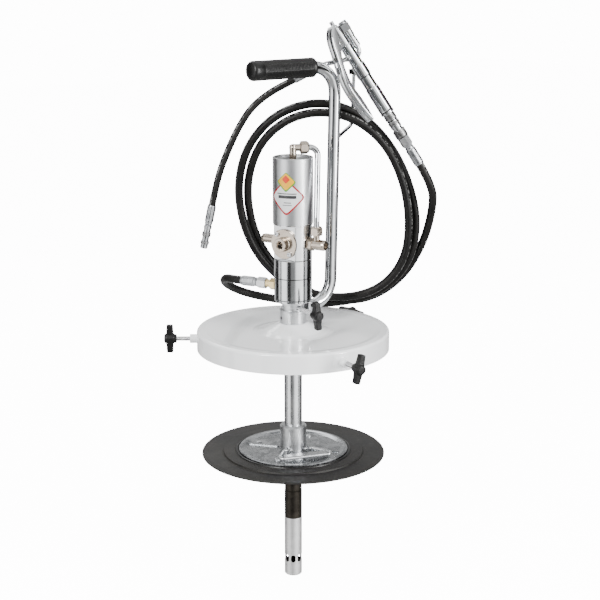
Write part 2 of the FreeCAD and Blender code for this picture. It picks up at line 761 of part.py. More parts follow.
memb = lathe(
    "membrane",
    [(15.8, Z0 - 5.5), (disc_rad - 0.8, Z0 - 5.5), (disc_rad, Z0 - 4.7), (disc_rad, Z0 - 3.3), (disc_rad - 0.8, Z0 - 2.5), (118.6, Z0 - 2.5), (117.6, Z0), (15.8, Z0)],
)
keep("follower_membrane", cut("follower_membrane", memb, *clear_holes(-220.0, 14.0)))
plate = lathe(
    "plate",
    [
        (15.8, Z0 + 0.02),
        (80.5, Z0 + 0.02),
        (84.0, Z0 + 2.0),
        (87.0, Z0 + 2.8),
        (90.0, Z0 + 2.6),
        (91.0, Z0 + 0.4),
        (plate_rad, Z0 + 0.4),
        (plate_rad, Z0 + 3.0),
        (90.6, Z0 + 4.2),
        (86.4, Z0 + 4.4),
        (83.0, Z0 + 3.4),
        (79.8, Z0 + 1.6),
        (15.8, Z0 + 1.6),
    ],
)
ribs = []
for a in (129.0, 39.0, -51.0):
    P = radial(a, 28.0, -208.4)
    ribs.append(fuse("rib", block("rib_bar", 2.0, 7.0, 48.0, (-0.4, -3.5, 0), P), rod("rib_end", 3.5, 2.0, Placement(ring_dir(a) * 76.0 + Vector(0, 0, -208.8), Rotation())), rod("rib_end", 3.5, 2.0, Placement(ring_dir(a) * 28.0 + Vector(0, 0, -208.8), Rotation()))))
# lugs for the lift handle, either side of the collar's front
AZ_LIFT = -108.0
LIFT = Placement(Vector(0, 0, 0), Rotation(Vector(0, 0, 1), AZ_LIFT))
LIFT_R, LIFT_Z, WIRE = 27.0, -202.2, 2.5
lugs, lug_holes = [], []
for s in (-1, 1):
    y0 = 15.5 if s > 0 else -18.5
    lugs.append(block("lug", 9.0, 3.0, 11.0, (LIFT_R - 4.5, y0, -208.6), LIFT))
lug_holes.append(rod("lug_hole", WIRE + 0.08, 60.0, LIFT.multiply(aim((0, 1, 0), (LIFT_R, -30.0, LIFT_Z)))))
plate_all = fuse("plate_all", plate, *(ribs + lugs))
keep("follower_plate", cut("follower_plate", plate_all, *(lug_holes + clear_holes(-220.0, 20.0))))
keep(
    "follower_backing",
    cut("follower_backing", lathe("backing", [(15.8, Z0 - 7.5), (84.0, Z0 - 7.5), (85.0, Z0 - 6.5), (85.0, Z0 - 5.52), (15.8, Z0 - 5.52)]), *clear_holes(-220.0, 14.0)),
)
fcol = lathe(
    "follower_collar",
    [
        (stem_rad + stem_gap, Z0 + 1.62),
        (22.3, Z0 + 1.62),
        (22.3, -168.0),
        (19.2, -164.8),
        (stem_rad + stem_gap, -164.8),
        (stem_rad + stem_gap, -174.0),
        (18.0, -174.0),
        (18.0, -178.0),
        (stem_rad + stem_gap, -178.0),
    ],
)
keep("follower_collar", fcol)
keep("follower_wiper", lathe("follower_wiper", [(stem_rad + 0.03, -177.97), (17.97, -177.97), (17.97, -174.03), (stem_rad + 0.03, -174.03)]))
fs = []
for v in scr_xy:
    b = lathe("follower_screw", [(0, -220.2), (2.5, -220.2), (2.5, -219.9), (4.6, -219.9), (4.6, -217.52), (2.5, -217.52), (2.5, -208.38), (4.6, -208.38), (4.4, -206.6), (3.0, -205.8), (0, -205.6)])
    b.Placement = Placement(Vector(v.x, v.y, 0), Rotation())
    fs.append(b)
keep("follower_screws", group("follower_screws", fs))
bail_local = [(LIFT_R, 11.0), (LIFT_R, 25.0), (64.0, 55.0), (64.0, -47.0), (LIFT_R, -25.0), (LIFT_R, -11.0)]
bail_pts = []
for x, y in bail_local:
    v = LIFT.multVec(Vector(x, y, LIFT_Z))
    bail_pts.append((v.x, v.y, v.z))
bail = pipe("bail", bail_pts, WIRE, [6.0, 7.0, 7.0, 6.0])
strap = block("bail_strap", 14.5, 74.0, 2.4, (49.0, -33.0, LIFT_Z - 1.2), LIFT)
keep("lift_handle", fuse("lift_handle", bail, strap))

# ================================================================ carrying handle
ring = rod("bracket_ring", 24.0, 3.6, Placement(Vector(0, 0, 46.3), Rotation()))
tongue = block("bracket_tongue", 26.6, 26.0, 3.6, (0, -13.0, 46.3))
tab = block("bracket_tab", 4.0, 26.0, 26.0, (22.6, -13.0, 23.9))
keep("handle_bracket", cut("handle_bracket", fuse("bracket", ring, tongue, tab), rod("bracket_bore", 15.2, 10.0, Placement(Vector(0, 0, 44), Rotation()))))
handle_pts = [(26.62, 0, 36.0), (76.9, 0, 36.0), (85.2, 0, 430.0), (-79.0, 0, 430.0)]
tube_solid = pipe("handle_bar", handle_pts, tube_rad, [42.0, 43.0])
keep("handle_tube", cut("handle_tube", tube_solid, pipe("handle_void", [(20.0, 0, 36.0)] + handle_pts[1:3] + [(-90.0, 0, 430.0)], tube_rad - tube_wall, [42.0, 43.0])))
grip_out = [(tube_rad + 0.06, 0), (13.6, 0), (15.0, 1.0), (grip_rad, 3.0)]
z = 6.0
while z < 112.0:
    grip_out += [(grip_rad, z), (grip_rad - 0.9, z + 0.7), (grip_rad - 0.9, z + 1.7), (grip_rad, z + 2.4)]
    z += 4.8
grip_out += [(grip_rad, 117.0), (15.0, 120.0), (11.0, 122.2), (0, 122.8), (0, 119.6), (tube_rad + 0.06, 119.6)]
keep("handle_grip", placed(lathe("handle_grip", grip_out), aim((-1, 0, 0), (40.0, 0, 430.0), (0, 0, 1))))


def vw(x, y, z):
    """A point given in the sight-line frame (x across, y away) turned into this frame."""
    c, s = math.cos(math.radians(-36.0)), math.sin(math.radians(-36.0))
    return (x * c - y * s, x * s + y * c, z)


hook_pts = [(83.0, 0.0, 308.0), vw(98.8, 99.0, 329.0), vw(100.6, 81.6, 425.0)]
hook = pipe("hose_hook", hook_pts, 3.0, [11.0])
keep("hose_hook", cut("hose_hook", hook, tube_solid))

# ================================================================ control gun
GUN_TILT, GUN_ROLL = math.radians(32.67), math.radians(46.0)
GJ = Vector(132.92, -16.84, 412.17)
side = ring_dir(-36.0)
toward = ring_dir(-126.0)
gs = side * math.sin(GUN_TILT) + Vector(0, 0, -math.cos(GUN_TILT))
left = side * -math.cos(GUN_TILT) + Vector(0, 0, -math.sin(GUN_TILT))
gu = left * math.cos(GUN_ROLL) + toward * math.sin(GUN_ROLL)
gv = gs.cross(gu)
GUN = Placement(Matrix(gu.x, gv.x, gs.x, GJ.x, gu.y, gv.y, gs.y, GJ.y, gu.z, gv.z, gs.z, GJ.z, 0, 0, 0, 1))
# local gun frame: x towards the lever, z along the gun towards the delivery hose, 0 at the joint of body and barrel
PIV_S, PIV_U = -67.0, 15.5
gb = lathe(
    "gun_body",
    [
        (0, -104.0), (3.0, -104.0), (3.6, -103.4), (3.6, -95.5), (5.6, -95.5), (5.6, -92.0), (8.6, -92.0), (9.4, -91.2), (9.4, -60.0), (gun_rad, -58.0), (gun_rad, -23.0),
        (11.8, -21.5), (11.8, -1.0), (10.8, 0.0), (5.0, 0.0), (5.0, -70.0), (0, -70.0),
    ],
)
ear_a = block("ear", 12.4, 3.0, 15.0, (7.6, 3.6, -74.5))
ear_b = block("ear", 12.4, 3.0, 15.0, (7.6, -6.6, -74.5))
needle_guide = rod("needle_guide", 4.6, 9.4, aim((1, 0, 0), (6.0, 0, -40.0)))
arm = block("outlet_arm", 26.0, 11.0, 12.0, (-27.5, -5.5, -89.0))
h0, h1 = Vector(*hook_pts[1]), Vector(*hook_pts[2])
hd = (h1 - h0).normalize()
eye_at, eye_from = h1 - hd * 7.0, GJ - gs * 9.5
eye_dir = eye_at - eye_from
EYE = GUN.inverse().multiply(aim(tuple(eye_dir), tuple(eye_from), (0, 0, 1)))
eye = block("eye", 9.0, 12.0, eye_dir.Length + 6.0, (-4.5, -6.0, 0), EYE)
eye_bore = rod("eye_bore", 3.2, 60.0, GUN.inverse().multiply(aim(tuple(hd), tuple(h1 - hd * 40.0))))
gun_core = rod("gun_core", 5.0, 70.0, Placement(Vector(0, 0, -70.0), Rotation()))
eye = cut("eye", eye, eye_bore, gun_core)
gun_all = fuse("gun_body", gb, ear_a, ear_b, needle_guide, arm, eye)
pin_hole = rod("pin_hole", 2.5, 30.0, aim((0, 1, 0), (PIV_U, -15.0, PIV_S)))
needle_bore = rod("needle_bore", 2.06, 24.0, aim((1, 0, 0), (0.5, 0, -40.0)))
out_bore = rod("out_bore", 3.0, 20.0, aim((-1, 0, 0), (0, 0, -84.5)))
keep("gun_body", placed(cut("gun_body", gun_all, pin_hole, needle_bore), GUN))
keep(
    "gun_barrel",
    placed(
        lathe(
            "gun_barrel",
            [
                (4.0, 0.02), (10.0, 0.02), (10.4, 0.6), (10.4, 21.5), (11.4, 23.0), (11.4, 65.0), (10.6, 67.0), (10.6, 68.2), (11.6, 68.6), (11.6, 72.0), (10.0, 73.0), (4.0, 73.0),
            ],
        ),
        GUN,
    ),
)
swv = lathe(
    "gun_swivel",
    [(4.0, 73.02), (8.6, 73.02), (8.6, 94.0), (9.3, 94.6), (9.3, 99.4), (8.2, 100.0), (8.2, 104.0), (4.0, 104.0)],
)
keep("gun_swivel", placed(swv, GUN))
keep("lever_pin", placed(lathe("lever_pin", [(0, -10.9), (3.8, -10.9), (4.2, -10.3), (4.2, -9.12), (2.42, -9.12), (2.42, 9.12), (4.0, 9.12), (4.0, 10.6), (0, 10.6)]), GUN.multiply(aim((0, 1, 0), (PIV_U, 0, PIV_S)))))
keep("valve_needle", placed(lathe("valve_needle", [(0, 0), (2.0, 0), (2.0, 28.0), (3.2, 28.0), (3.2, 29.9), (2.2, 30.9), (0, 31.2)]), GUN.multiply(aim((1, 0, 0), (6.5, 0, -40.0)))))

# lever: a folded channel. Side outline in (x, z), swept across y, then hollowed from the gun's side.
web = [(6.4, -98.2), (13.0, -95.0), (20.0, -88.5), (25.4, -80.0), (29.4, -70.4), (34.2, -57.0), (39.8, -43.7), (47.0, -24.0), (51.6, -8.0), (52.6, 6.0), (51.4, 25.6), (49.6, 42.0), (46.8, 56.0), (44.0, 63.5)]
inner = [(42.6, 62.5), (41.0, 54.0), (40.4, 38.0), (40.8, 22.0), (43.4, 2.0), (41.8, -14.0), (37.0, -32.0), (30.8, -46.0), (23.4, -57.0), (20.8, -61.0), (20.8, -63.0), (19.0, -72.5), (11.6, -74.5), (10.6, -84.0), (8.2, -92.6), (3.4, -96.6)]
HALF = 9.0


def channel(name, outline, y0, y1):
    """Solid with the given (x, z) outline between two y planes."""
    s = slab(name, [(x, -z) for x, z in outline], y1 - y0)
    # sketch plane XY turned to XZ: local (x, y, z) -> (x, z, -y)
    s.Placement = Placement(Matrix(1, 0, 0, 0, 0, 0, 1, y0, 0, -1, 0, 0, 0, 0, 0, 1))
    return s


outer_lever = channel("lever_outer", web + inner, -HALF, HALF)
off = 1.8
web_in = []
for i in range(len(web)):
    a = web[max(i - 1, 0)]
    b = web[min(i + 1, len(web) - 1)]
    tx, tz = b[0] - a[0], b[1] - a[1]
    ln = math.hypot(tx, tz)
    web_in.append((web[i][0] - off * tz / ln, web[i][1] + off * tx / ln))
hollow = channel("lever_hollow", [(web_in[0][0] - 2.2, web_in[0][1] - 1.0)] + web_in[1:-1] + [(41.6, 62.0), (20.0, 66.0), (0.0, 0.0), (-10.0, -80.0), (-4.0, -97.6)], -HALF + 1.7, HALF - 1.7)
lever_solid = cut("gun_lever", outer_lever, hollow, rod("lever_pin_hole", 2.5, 30.0, aim((0, 1, 0), (PIV_U, -15.0, PIV_S))))
keep("gun_lever", placed(lever_solid, GUN))

# outlet swivel beside the head, bent pipe behind the gun, whip hose, coupler
keep(
    "outlet_swivel",
    placed(
        lathe(
            "outlet_swivel",
            [(0, -94.0), (6.0, -94.0), (7.0, -93.2), (7.0, -89.6), (6.4, -89.02), (0, -89.02)],
        ),
        GUN.multiply(Placement(Vector(-21.5, 0, 0), Rotation())),
    ),
)
keep(
    "outlet_nut",
    placed(
        lathe("outlet_nut", [(4.05, -76.98), (7.4, -76.98), (7.4, -66.0), (6.4, -65.4), (6.4, -60.0), (7.0, -59.4), (7.0, -47.0), (5.6, -46.0), (4.05, -46.0)]),
        GUN.multiply(Placement(Vector(-21.5, 0, 0), Rotation())),
    ),
)
p_in = GUN.multVec(Vector(-21.5, 0, -75.0))
p_out = GUN.multVec(Vector(-21.5, 0, -30.0))
pipe_pts = [(p_in.x, p_in.y, p_in.z), (p_out.x, p_out.y, p_out.z), vw(84.0, 90.0, 436.0), vw(50.3, 62.0, 431.6), vw(18.35, 62.0, 415.1)]
keep("whip_pipe", pipe("whip_pipe", pipe_pts, 4.0, [10.0, 16.0, 20.0]))

WHIP = [
    (48.4, 41.5, 413.3), (34.0, 51.9, 404.1), (5.0, 70.6, 386.6), (-21.4, 87.3, 361.9), (-39.8, 98.3, 328.7),
    (-54.5, 106.5, 293.4), (-67.6, 113.6, 256.6), (-76.1, 117.9, 219.1), (-82.2, 121.1, 186.4),
]
MAIN = [
    (-38.19, 71.83, 74.0), (-50.7, 95.36, 74.0), (-53.5, 122.2, 72.5), (-39.9, 148.9, 59.0), (-13.1, 164.4, 41.5), (19.9, 162.7, 26.0),
    (56.4, 138.1, 16.5), (93.3, 99.9, 11.0), (146.1, 58.9, 11.5), (199.9, 15.2, 31.5), (233.1, -20.6, 85.4), (236.8, -37.1, 157.0),
    (218.5, -34.8, 229.7), (187.1, -21.1, 296.8), (138.9, 0.1, 349.8), (77.3, 32.5, 371.9), (21.7, 76.4, 351.5), (-12.6, 114.2, 296.5),
    (-21.7, 131.9, 224.6), (-8.7, 131.9, 150.9), (23.7, 118.9, 85.3), (73.9, 91.8, 39.0), (134.1, 50.0, 21.5), (187.3, 2.8, 40.1),
    (215.2, -30.8, 95.0), (214.4, -42.6, 169.2), (197.0, -41.2, 243.6), (163.5, -27.8, 308.8), (110.7, 2.6, 350.8), (51.7, 47.6, 353.4),
    (9.1, 93.4, 313.8), (-5.1, 124.4, 247.5), (4.5, 136.9, 173.9), (32.3, 135.3, 105.2), (77.9, 119.9, 48.1), (135.9, 88.7, 12.5),
    (194.7, 45.7, 12.0), (238.2, 4.1, 53.6), (255.4, -30.5, 119.5), (247.2, -62.3, 185.0), (226.62, -84.91, 231.7), (203.02, -67.77, 277.07),
]
keep("hose_main", hose("hose_main", MAIN, hose_rad))
keep("whip_hose", hose("whip_hose", WHIP, whip_rad))


def ferrule(name, bore, length, outer, deep):
    """Crimped sleeve over a hose end: closed nose at 0, hose mouth at length."""
    return lathe(
        name,
        [(0, 0.0), (outer - 2.0, 0.0), (outer - 0.6, 1.6), (outer - 0.6, 5.0), (outer, 6.0), (outer, length - 2.0), (outer - 0.5, length), (bore, length), (bore, length - deep), (0, length - deep)],
    )


o = ring_dir(AZ_OUTLET)
f_out = placed(ferrule("ferrule", 7.05, 29.5, 8.1, 14.65), radial(AZ_OUTLET, 66.5, outlet_z))
f_gun = placed(ferrule("ferrule", 7.05, 35.6, 8.1, 11.95), GUN.multiply(aim((0, 0, 1), (0, 0, 136.8))))
keep("hose_ferrules", group("hose_ferrules", [f_out, f_gun]))


def union_nut(name, length, af, place, bore=5.6):
    h = hexagon(name + "_hex", af, length)
    cone = lathe(name + "_cone", [(0, -0.1), (af / 2.0 - 0.2, -0.1), (af / 2.0 + 1.6, 1.4), (af / 2.0 + 1.6, length - 4.0), (af / 2.0 - 0.6, length - 0.6), (af / 2.0 - 1.6, length + 0.1), (0, length + 0.1)])
    bo = rod(name + "_bore", bore, length + 4, Placement(Vector(0, 0, -2), Rotation()))
    return placed(cut(name, common(name, h, cone), bo), place)


n_out = union_nut("outlet_union", 17.4, 17.0, radial(AZ_OUTLET, 49.0, outlet_z))
n_gun = union_nut("gun_union", 32.6, 17.0, GUN.multiply(Placement(Vector(0, 0, 104.1), Rotation())))
keep("union_nuts", group("union_nuts", [n_out, n_gun]))
nip = fuse(
    "outlet_nipple",
    rod("nip_thread", 6.55, 7.3, radial(AZ_OUTLET, 24.1, outlet_z)),
    hexagon("nip_hex", 17.5, 9.5, radial(AZ_OUTLET, 31.35, outlet_z)),
    rod("nip_neck", 6.6, 8.1, radial(AZ_OUTLET, 40.8, outlet_z)),
    rod("nip_nose", 5.5, 8.0, radial(AZ_OUTLET, 48.8, outlet_z)),
)
keep("outlet_nipple", cut("outlet_nipple", nip, rod("nip_bore", 2.5, 50.0, radial(AZ_OUTLET, 20.0, outlet_z))))

w0, w1 = Vector(*WHIP[0]), Vector(*WHIP[1])
wd = (w1 - w0).normalize()
e0, e1 = Vector(*WHIP[-2]), Vector(*WHIP[-1])
ed = (e1 - e0).normalize()
pv = Vector(*pipe_pts[-1])
fa = cut("whip_ferrule", placed(ferrule("whip_ferrule", 5.84, 30.0, 6.9, 14.2), aim(wd, tuple(w0 - wd * 15.8))), pipe("pipe_clear", pipe_pts, 4.05, [10.0, 16.0, 20.0]))
fb = placed(ferrule("whip_ferrule", 5.84, 34.0, 6.9, 14.2), aim(ed * -1, tuple(e1 + ed * 19.8)))
keep("whip_ferrules", group("whip_ferrules", [fa, fb]))
coup = lathe(
    "coupler",
    [
        (3.3, 40.0), (5.4, 40.0), (6.2, 39.0), (6.2, 33.0), (6.9, 32.2), (6.9, 27.6), (5.8, 27.0), (5.8, 20.0), (6.7, 19.4), (6.7, 12.0), (5.8, 11.4), (5.8, 6.4), (6.6, 5.8), (6.6, 1.4), (5.4, 0.02), (0, 0.02),
        (0, 30.0), (3.3, 30.0),
    ],
)
ck = e1 + ed * 19.82
keep("grease_coupler", placed(coup, aim(ed, tuple(ck))))

# ================================================================ check and write
doc.recompute()
bad = []
for ob in doc.Objects:
    st = [s for s in ob.State if s in ("Invalid", "Error")]
    if st:
        bad.append("%s (%s): %s" % (ob.Name, ob.Label, st))
for label, ob in NODES.items():
    sh = ob.Shape
    if sh.isNull() or not sh.isValid() or not sh.Solids:
        bad.append("%s: shape null, invalid or without a solid" % label)
if bad:
    raise RuntimeError("; ".join(bad))
os.makedirs("parts", exist_ok=True)
for label, ob in NODES.items():
    ob.Shape.exportStep("parts/%s.step" % label)
total = Part.makeCompound([ob.Shape for ob in NODES.values()])
bb = total.BoundBox
print("nodes %d, box %.1f %.1f %.1f to %.1f %.1f %.1f" % (len(NODES), bb.XMin, bb.YMin, bb.ZMin, bb.XMax, bb.YMax, bb.ZMax))
for label, ob in NODES.items():
    print("%-20s solids %d volume %.0f" % (label, len(ob.Shape.Solids), ob.Shape.Volume))
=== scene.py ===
import math
import bpy
import bmesh
from mathutils import Matrix, Vector


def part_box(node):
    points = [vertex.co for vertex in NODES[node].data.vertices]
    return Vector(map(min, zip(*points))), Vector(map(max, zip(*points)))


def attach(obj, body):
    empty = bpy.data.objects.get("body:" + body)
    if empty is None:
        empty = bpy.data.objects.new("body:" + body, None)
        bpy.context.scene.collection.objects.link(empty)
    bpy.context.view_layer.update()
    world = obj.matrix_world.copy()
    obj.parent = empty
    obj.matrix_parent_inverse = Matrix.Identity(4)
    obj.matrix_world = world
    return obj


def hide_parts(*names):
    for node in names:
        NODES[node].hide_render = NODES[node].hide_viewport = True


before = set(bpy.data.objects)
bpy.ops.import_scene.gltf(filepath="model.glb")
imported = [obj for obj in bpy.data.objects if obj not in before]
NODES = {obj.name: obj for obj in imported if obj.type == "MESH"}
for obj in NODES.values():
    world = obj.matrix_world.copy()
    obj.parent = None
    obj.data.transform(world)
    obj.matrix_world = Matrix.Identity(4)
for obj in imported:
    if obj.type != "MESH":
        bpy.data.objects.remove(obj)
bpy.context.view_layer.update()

MM = 0.001


# ================================================================ camera first
cam_data = bpy.data.cameras.new("camera")
cam_data.lens = 86.94
cam_data.sensor_width = 36.0
cam_data.clip_end = 50.0
cam = bpy.data.objects.new("camera", cam_data)
bpy.context.scene.collection.objects.link(cam)
cam.location = (-1.3591, -1.8902, 0.6314)
cam.rotation_euler = (math.radians(75.98), 0.0, math.radians(-36.0))
bpy.context.scene.camera = cam


# ================================================================ node materials
def tree(name):
    m = bpy.data.materials.new(name)
    m.use_nodes = True
    nt = m.node_tree
    bsdf = nt.nodes["Principled BSDF"]
    return m, nt, bsdf


def coords(nt, stretch=(1, 1, 1), kind="Object", spin=(0, 0, 0)):
    tc = nt.nodes.new("ShaderNodeTexCoord")
    mp = nt.nodes.new("ShaderNodeMapping")
    mp.inputs["Scale"].default_value = stretch
    mp.inputs["Rotation"].default_value = spin
    nt.links.new(tc.outputs[kind], mp.inputs["Vector"])
    return mp.outputs["Vector"]


def noise(nt, vec, scale, detail=4.0, rough=0.55, warp=0.0):
    n = nt.nodes.new("ShaderNodeTexNoise")
    n.inputs["Scale"].default_value = scale
    n.inputs["Detail"].default_value = detail
    n.inputs["Roughness"].default_value = rough
    n.inputs["Distortion"].default_value = warp
    nt.links.new(vec, n.inputs["Vector"])
    return n.outputs["Fac"]


def ramp(nt, fac, stops):
    r = nt.nodes.new("ShaderNodeValToRGB")
    cr = r.color_ramp
    while len(cr.elements) < len(stops):
        cr.elements.new(0.5)
    for e, (p, c) in zip(cr.elements, stops):
        e.position = p
        e.color = (*c, 1.0) if len(c) == 3 else c
    nt.links.new(fac, r.inputs["Fac"])
    return r.outputs["Color"]


def span(nt, fac, lo, hi, a=0.0, b=1.0):
    m = nt.nodes.new("ShaderNodeMapRange")
    m.inputs["From Min"].default_value = a
    m.inputs["From Max"].default_value = b
    m.inputs["To Min"].default_value = lo
    m.inputs["To Max"].default_value = hi
    nt.links.new(fac, m.inputs["Value"])
    return m.outputs["Result"]


def maths(nt, op, a, b=None, clamp=False):
    m = nt.nodes.new("ShaderNodeMath")
    m.operation = op
    m.use_clamp = clamp
    for i, v in enumerate((a, b)):
        if v is None:
            continue
        if isinstance(v, (int, float)):
            m.inputs[i].default_value = v
        else:
            nt.links.new(v, m.inputs[i])
    return m.outputs[0]


def blend(nt, fac, a, b):
    m = nt.nodes.new("ShaderNodeMix")
    m.data_type = "RGBA"
    for sock, v in ((m.inputs["Factor"], fac), (m.inputs["A"], a), (m.inputs["B"], b)):
        if isinstance(v, tuple):
            sock.default_value = (*v, 1.0)
        elif isinstance(v, (int, float)):
            sock.default_value = v
        else:
            nt.links.new(v, sock)
    return m.outputs["Result"]


def bump(nt, bsdf, height, strength, distance, chain=None):
    b = nt.nodes.new("ShaderNodeBump")
    b.inputs["Strength"].default_value = strength
    b.inputs["Distance"].default_value = distance
    nt.links.new(height, b.inputs["Height"])
    if chain is not None:
        nt.links.new(chain, b.inputs["Normal"])
    nt.links.new(b.outputs["Normal"], bsdf.inputs["Normal"])
    return b.outputs["Normal"]


def metal(name, dark, light, rough, grain=(1, 1, 1), grain_scale=60.0, grain_depth=0.00002, cloud=18.0, spin=(0, 0, 0), grain_detail=3.0):
    """Metal with cloudy tone, roughness that follows it, and a directional machining or drawing grain."""
    m, nt, b = tree(name)
    b.inputs["Metallic"].default_value = 1.0
    v = coords(nt)
    c = noise(nt, v, cloud, 5.0, 0.6, 0.4)
    g = noise(nt, coords(nt, grain, spin=spin), grain_scale, grain_detail, 0.7)
    tone = maths(nt, "ADD", maths(nt, "MULTIPLY", c, 0.65), maths(nt, "MULTIPLY", g, 0.35))
    nt.links.new(ramp(nt, tone, [(0.36, dark), (0.64, light)]), b.inputs["Base Color"])
    nt.links.new(span(nt, tone, rough[0], rough[1], 0.36, 0.64), b.inputs["Roughness"])
    bump(nt, b, g, 0.35, grain_depth)
    return m


def enamel():
    m, nt, b = tree("white_enamel")
    v = coords(nt)
    c = noise(nt, v, 6.0, 3.0, 0.5)
    nt.links.new(ramp(nt, c, [(0.3, (0.86, 0.875, 0.885)), (0.7, (0.91, 0.92, 0.925))]), b.inputs["Base Color"])
    nt.links.new(span(nt, noise(nt, v, 30.0, 4.0), 0.10, 0.20, 0.3, 0.7), b.inputs["Roughness"])
    b.inputs["Coat Weight"].default_value = 0.6
    b.inputs["Coat Roughness"].default_value = 0.04
    bump(nt, b, noise(nt, v, 260.0, 2.0), 0.12, 0.00004)
    return m


def rubber(name, dark, light, rough, peel=420.0, depth=0.00006, dust=None):
    m, nt, b = tree(name)
    b.inputs["Specular IOR Level"].default_value = 0.30
    v = coords(nt)
    c = noise(nt, v, 26.0, 6.0, 0.62, 0.3)
    col = ramp(nt, c, [(0.34, dark), (0.68, light)])
    if dust is not None:
        d = ramp(nt, noise(nt, v, 14.0, 7.0, 0.66, 0.8), [(0.48, (0, 0, 0)), (0.70, (1, 1, 1))])
        col = blend(nt, maths(nt, "MULTIPLY", d, 0.55), col, dust)
    nt.links.new(col, b.inputs["Base Color"])
    nt.links.new(span(nt, c, rough[0], rough[1], 0.3, 0.7), b.inputs["Roughness"])
    bump(nt, b, noise(nt, v, peel, 3.0, 0.6), 0.35, depth)
    return m


def hose_rubber(name, turns):
    """Cloth-wrapped rubber hose. UV: x along the hose in metres, y once round it."""
    m, nt, b = tree(name)
    uv = nt.nodes.new("ShaderNodeUVMap")
    uv.uv_map = "along"
    sep = nt.nodes.new("ShaderNodeSeparateXYZ")
    nt.links.new(uv.outputs["UV"], sep.inputs["Vector"])
    s, t = sep.outputs["X"], sep.outputs["Y"]
    # diagonal wrap lines and the fine cloth imprint
    wrap = maths(nt, "SINE", maths(nt, "ADD", maths(nt, "MULTIPLY", s, 2 * math.pi / 0.045), maths(nt, "MULTIPLY", t, 2 * math.pi)))
    weave_a = maths(nt, "SINE", maths(nt, "ADD", maths(nt, "MULTIPLY", s, 2 * math.pi / 0.0016), maths(nt, "MULTIPLY", t, 2 * math.pi * turns)))
    weave_b = maths(nt, "SINE", maths(nt, "SUBTRACT", maths(nt, "MULTIPLY", s, 2 * math.pi / 0.0016), maths(nt, "MULTIPLY", t, 2 * math.pi * turns)))
    weave = maths(nt, "MULTIPLY", weave_a, weave_b)
    v = coords(nt)
    c = noise(nt, v, 30.0, 5.0, 0.6, 0.2)
    b.inputs["Specular IOR Level"].default_value = 0.20
    col = ramp(nt, c, [(0.32, (0.0022, 0.0021, 0.0020)), (0.70, (0.0085, 0.0078, 0.0070))])
    # a broken pale marking line with no lettering
    cell = nt.nodes.new("ShaderNodeTexNoise")
    cell.inputs["Scale"].default_value = 300.0
    cell.inputs["Detail"].default_value = 2.0
    line = nt.nodes.new("ShaderNodeCombineXYZ")
    nt.links.new(s, line.inputs["X"])
    nt.links.new(maths(nt, "MULTIPLY", t, 0.01), line.inputs["Y"])
    nt.links.new(line.outputs["Vector"], cell.inputs["Vector"])
    words = noise(nt, line.outputs["Vector"], 26.0, 1.0)
    dash = maths(nt, "MULTIPLY", maths(nt, "GREATER_THAN", cell.outputs["Fac"], 0.50), maths(nt, "GREATER_THAN", words, 0.42))
    off = maths(nt, "ABSOLUTE", maths(nt, "SUBTRACT", t, 0.5))
    near = maths(nt, "LESS_THAN", off, 0.026)
    ink = maths(nt, "MULTIPLY", maths(nt, "MULTIPLY", near, dash), 0.72)
    col = blend(nt, ink, col, (0.20, 0.20, 0.195))
    nt.links.new(col, b.inputs["Base Color"])
    nt.links.new(span(nt, c, 0.34, 0.52, 0.3, 0.7), b.inputs["Roughness"])
    h = maths(nt, "ADD", maths(nt, "MULTIPLY", weave, 0.25), maths(nt, "MULTIPLY", maths(nt, "POWER", maths(nt, "ABSOLUTE", wrap), 12.0), 0.6))
    bump(nt, b, h, 0.5, 0.00012)
    return m


def plastic(name, dark, light, rough):
    m, nt, b = tree(name)
    b.inputs["Specular IOR Level"].default_value = 0.25
    v = coords(nt)
    c = noise(nt, v, 45.0, 4.0)
    nt.links.new(ramp(nt, c, [(0.3, dark), (0.7, light)]), b.inputs["Base Color"])
    nt.links.new(span(nt, c, rough[0], rough[1], 0.3, 0.7), b.inputs["Roughness"])
    bump(nt, b, noise(nt, v, 900.0, 2.0), 0.25, 0.00005)
    return m


M = {}
M["enamel"] = enamel()
M["zinc"] = metal("zinc_steel", (0.50, 0.51, 0.52), (0.66, 0.67, 0.68), (0.26, 0.42), grain=(1, 1, 40), grain_scale=22.0, cloud=40.0)
M["galv"] = metal("galvanised_steel", (0.26, 0.27, 0.28), (0.46, 0.47, 0.48), (0.18, 0.38), grain=(1, 1, 1), grain_scale=240.0, grain_depth=0.00005, cloud=70.0)
M["stem"] = metal("drawn_stem", (0.52, 0.53, 0.54), (0.70, 0.71, 0.72), (0.22, 0.34), grain=(60, 60, 1), grain_scale=12.0, cloud=26.0)
M["turned"] = metal("turned_aluminium", (0.52, 0.53, 0.54), (0.66, 0.67, 0.68), (0.13, 0.22), grain=(1, 1, 300), grain_scale=8.0, cloud=14.0)
M["anodised"] = metal("anodised_aluminium", (0.50, 0.51, 0.52), (0.60, 0.61, 0.62), (0.30, 0.38), grain=(1, 1, 420), grain_scale=10.0, cloud=12.0)
M["chrome"] = metal("chrome", (0.50, 0.51, 0.52), (0.60, 0.61, 0.62), (0.04, 0.10), grain=(1, 1, 1), grain_scale=90.0, grain_depth=0.000008, cloud=22.0)
M["nickel"] = metal("nickel_brass", (0.36, 0.30, 0.25), (0.52, 0.46, 0.39), (0.14, 0.24), grain=(1, 1, 1), grain_scale=300.0, grain_depth=0.00003, cloud=60.0)
M["brass"] = metal("brass", (0.58, 0.43, 0.20), (0.76, 0.62, 0.34), (0.18, 0.32), grain=(1, 1, 1), grain_scale=260.0, grain_depth=0.00003, cloud=70.0)
M["foot"] = metal("foot_steel", (0.62, 0.62, 0.62), (0.78, 0.78, 0.78), (0.44, 0.56), grain=(1, 1, 30), grain_scale=30.0, cloud=45.0)
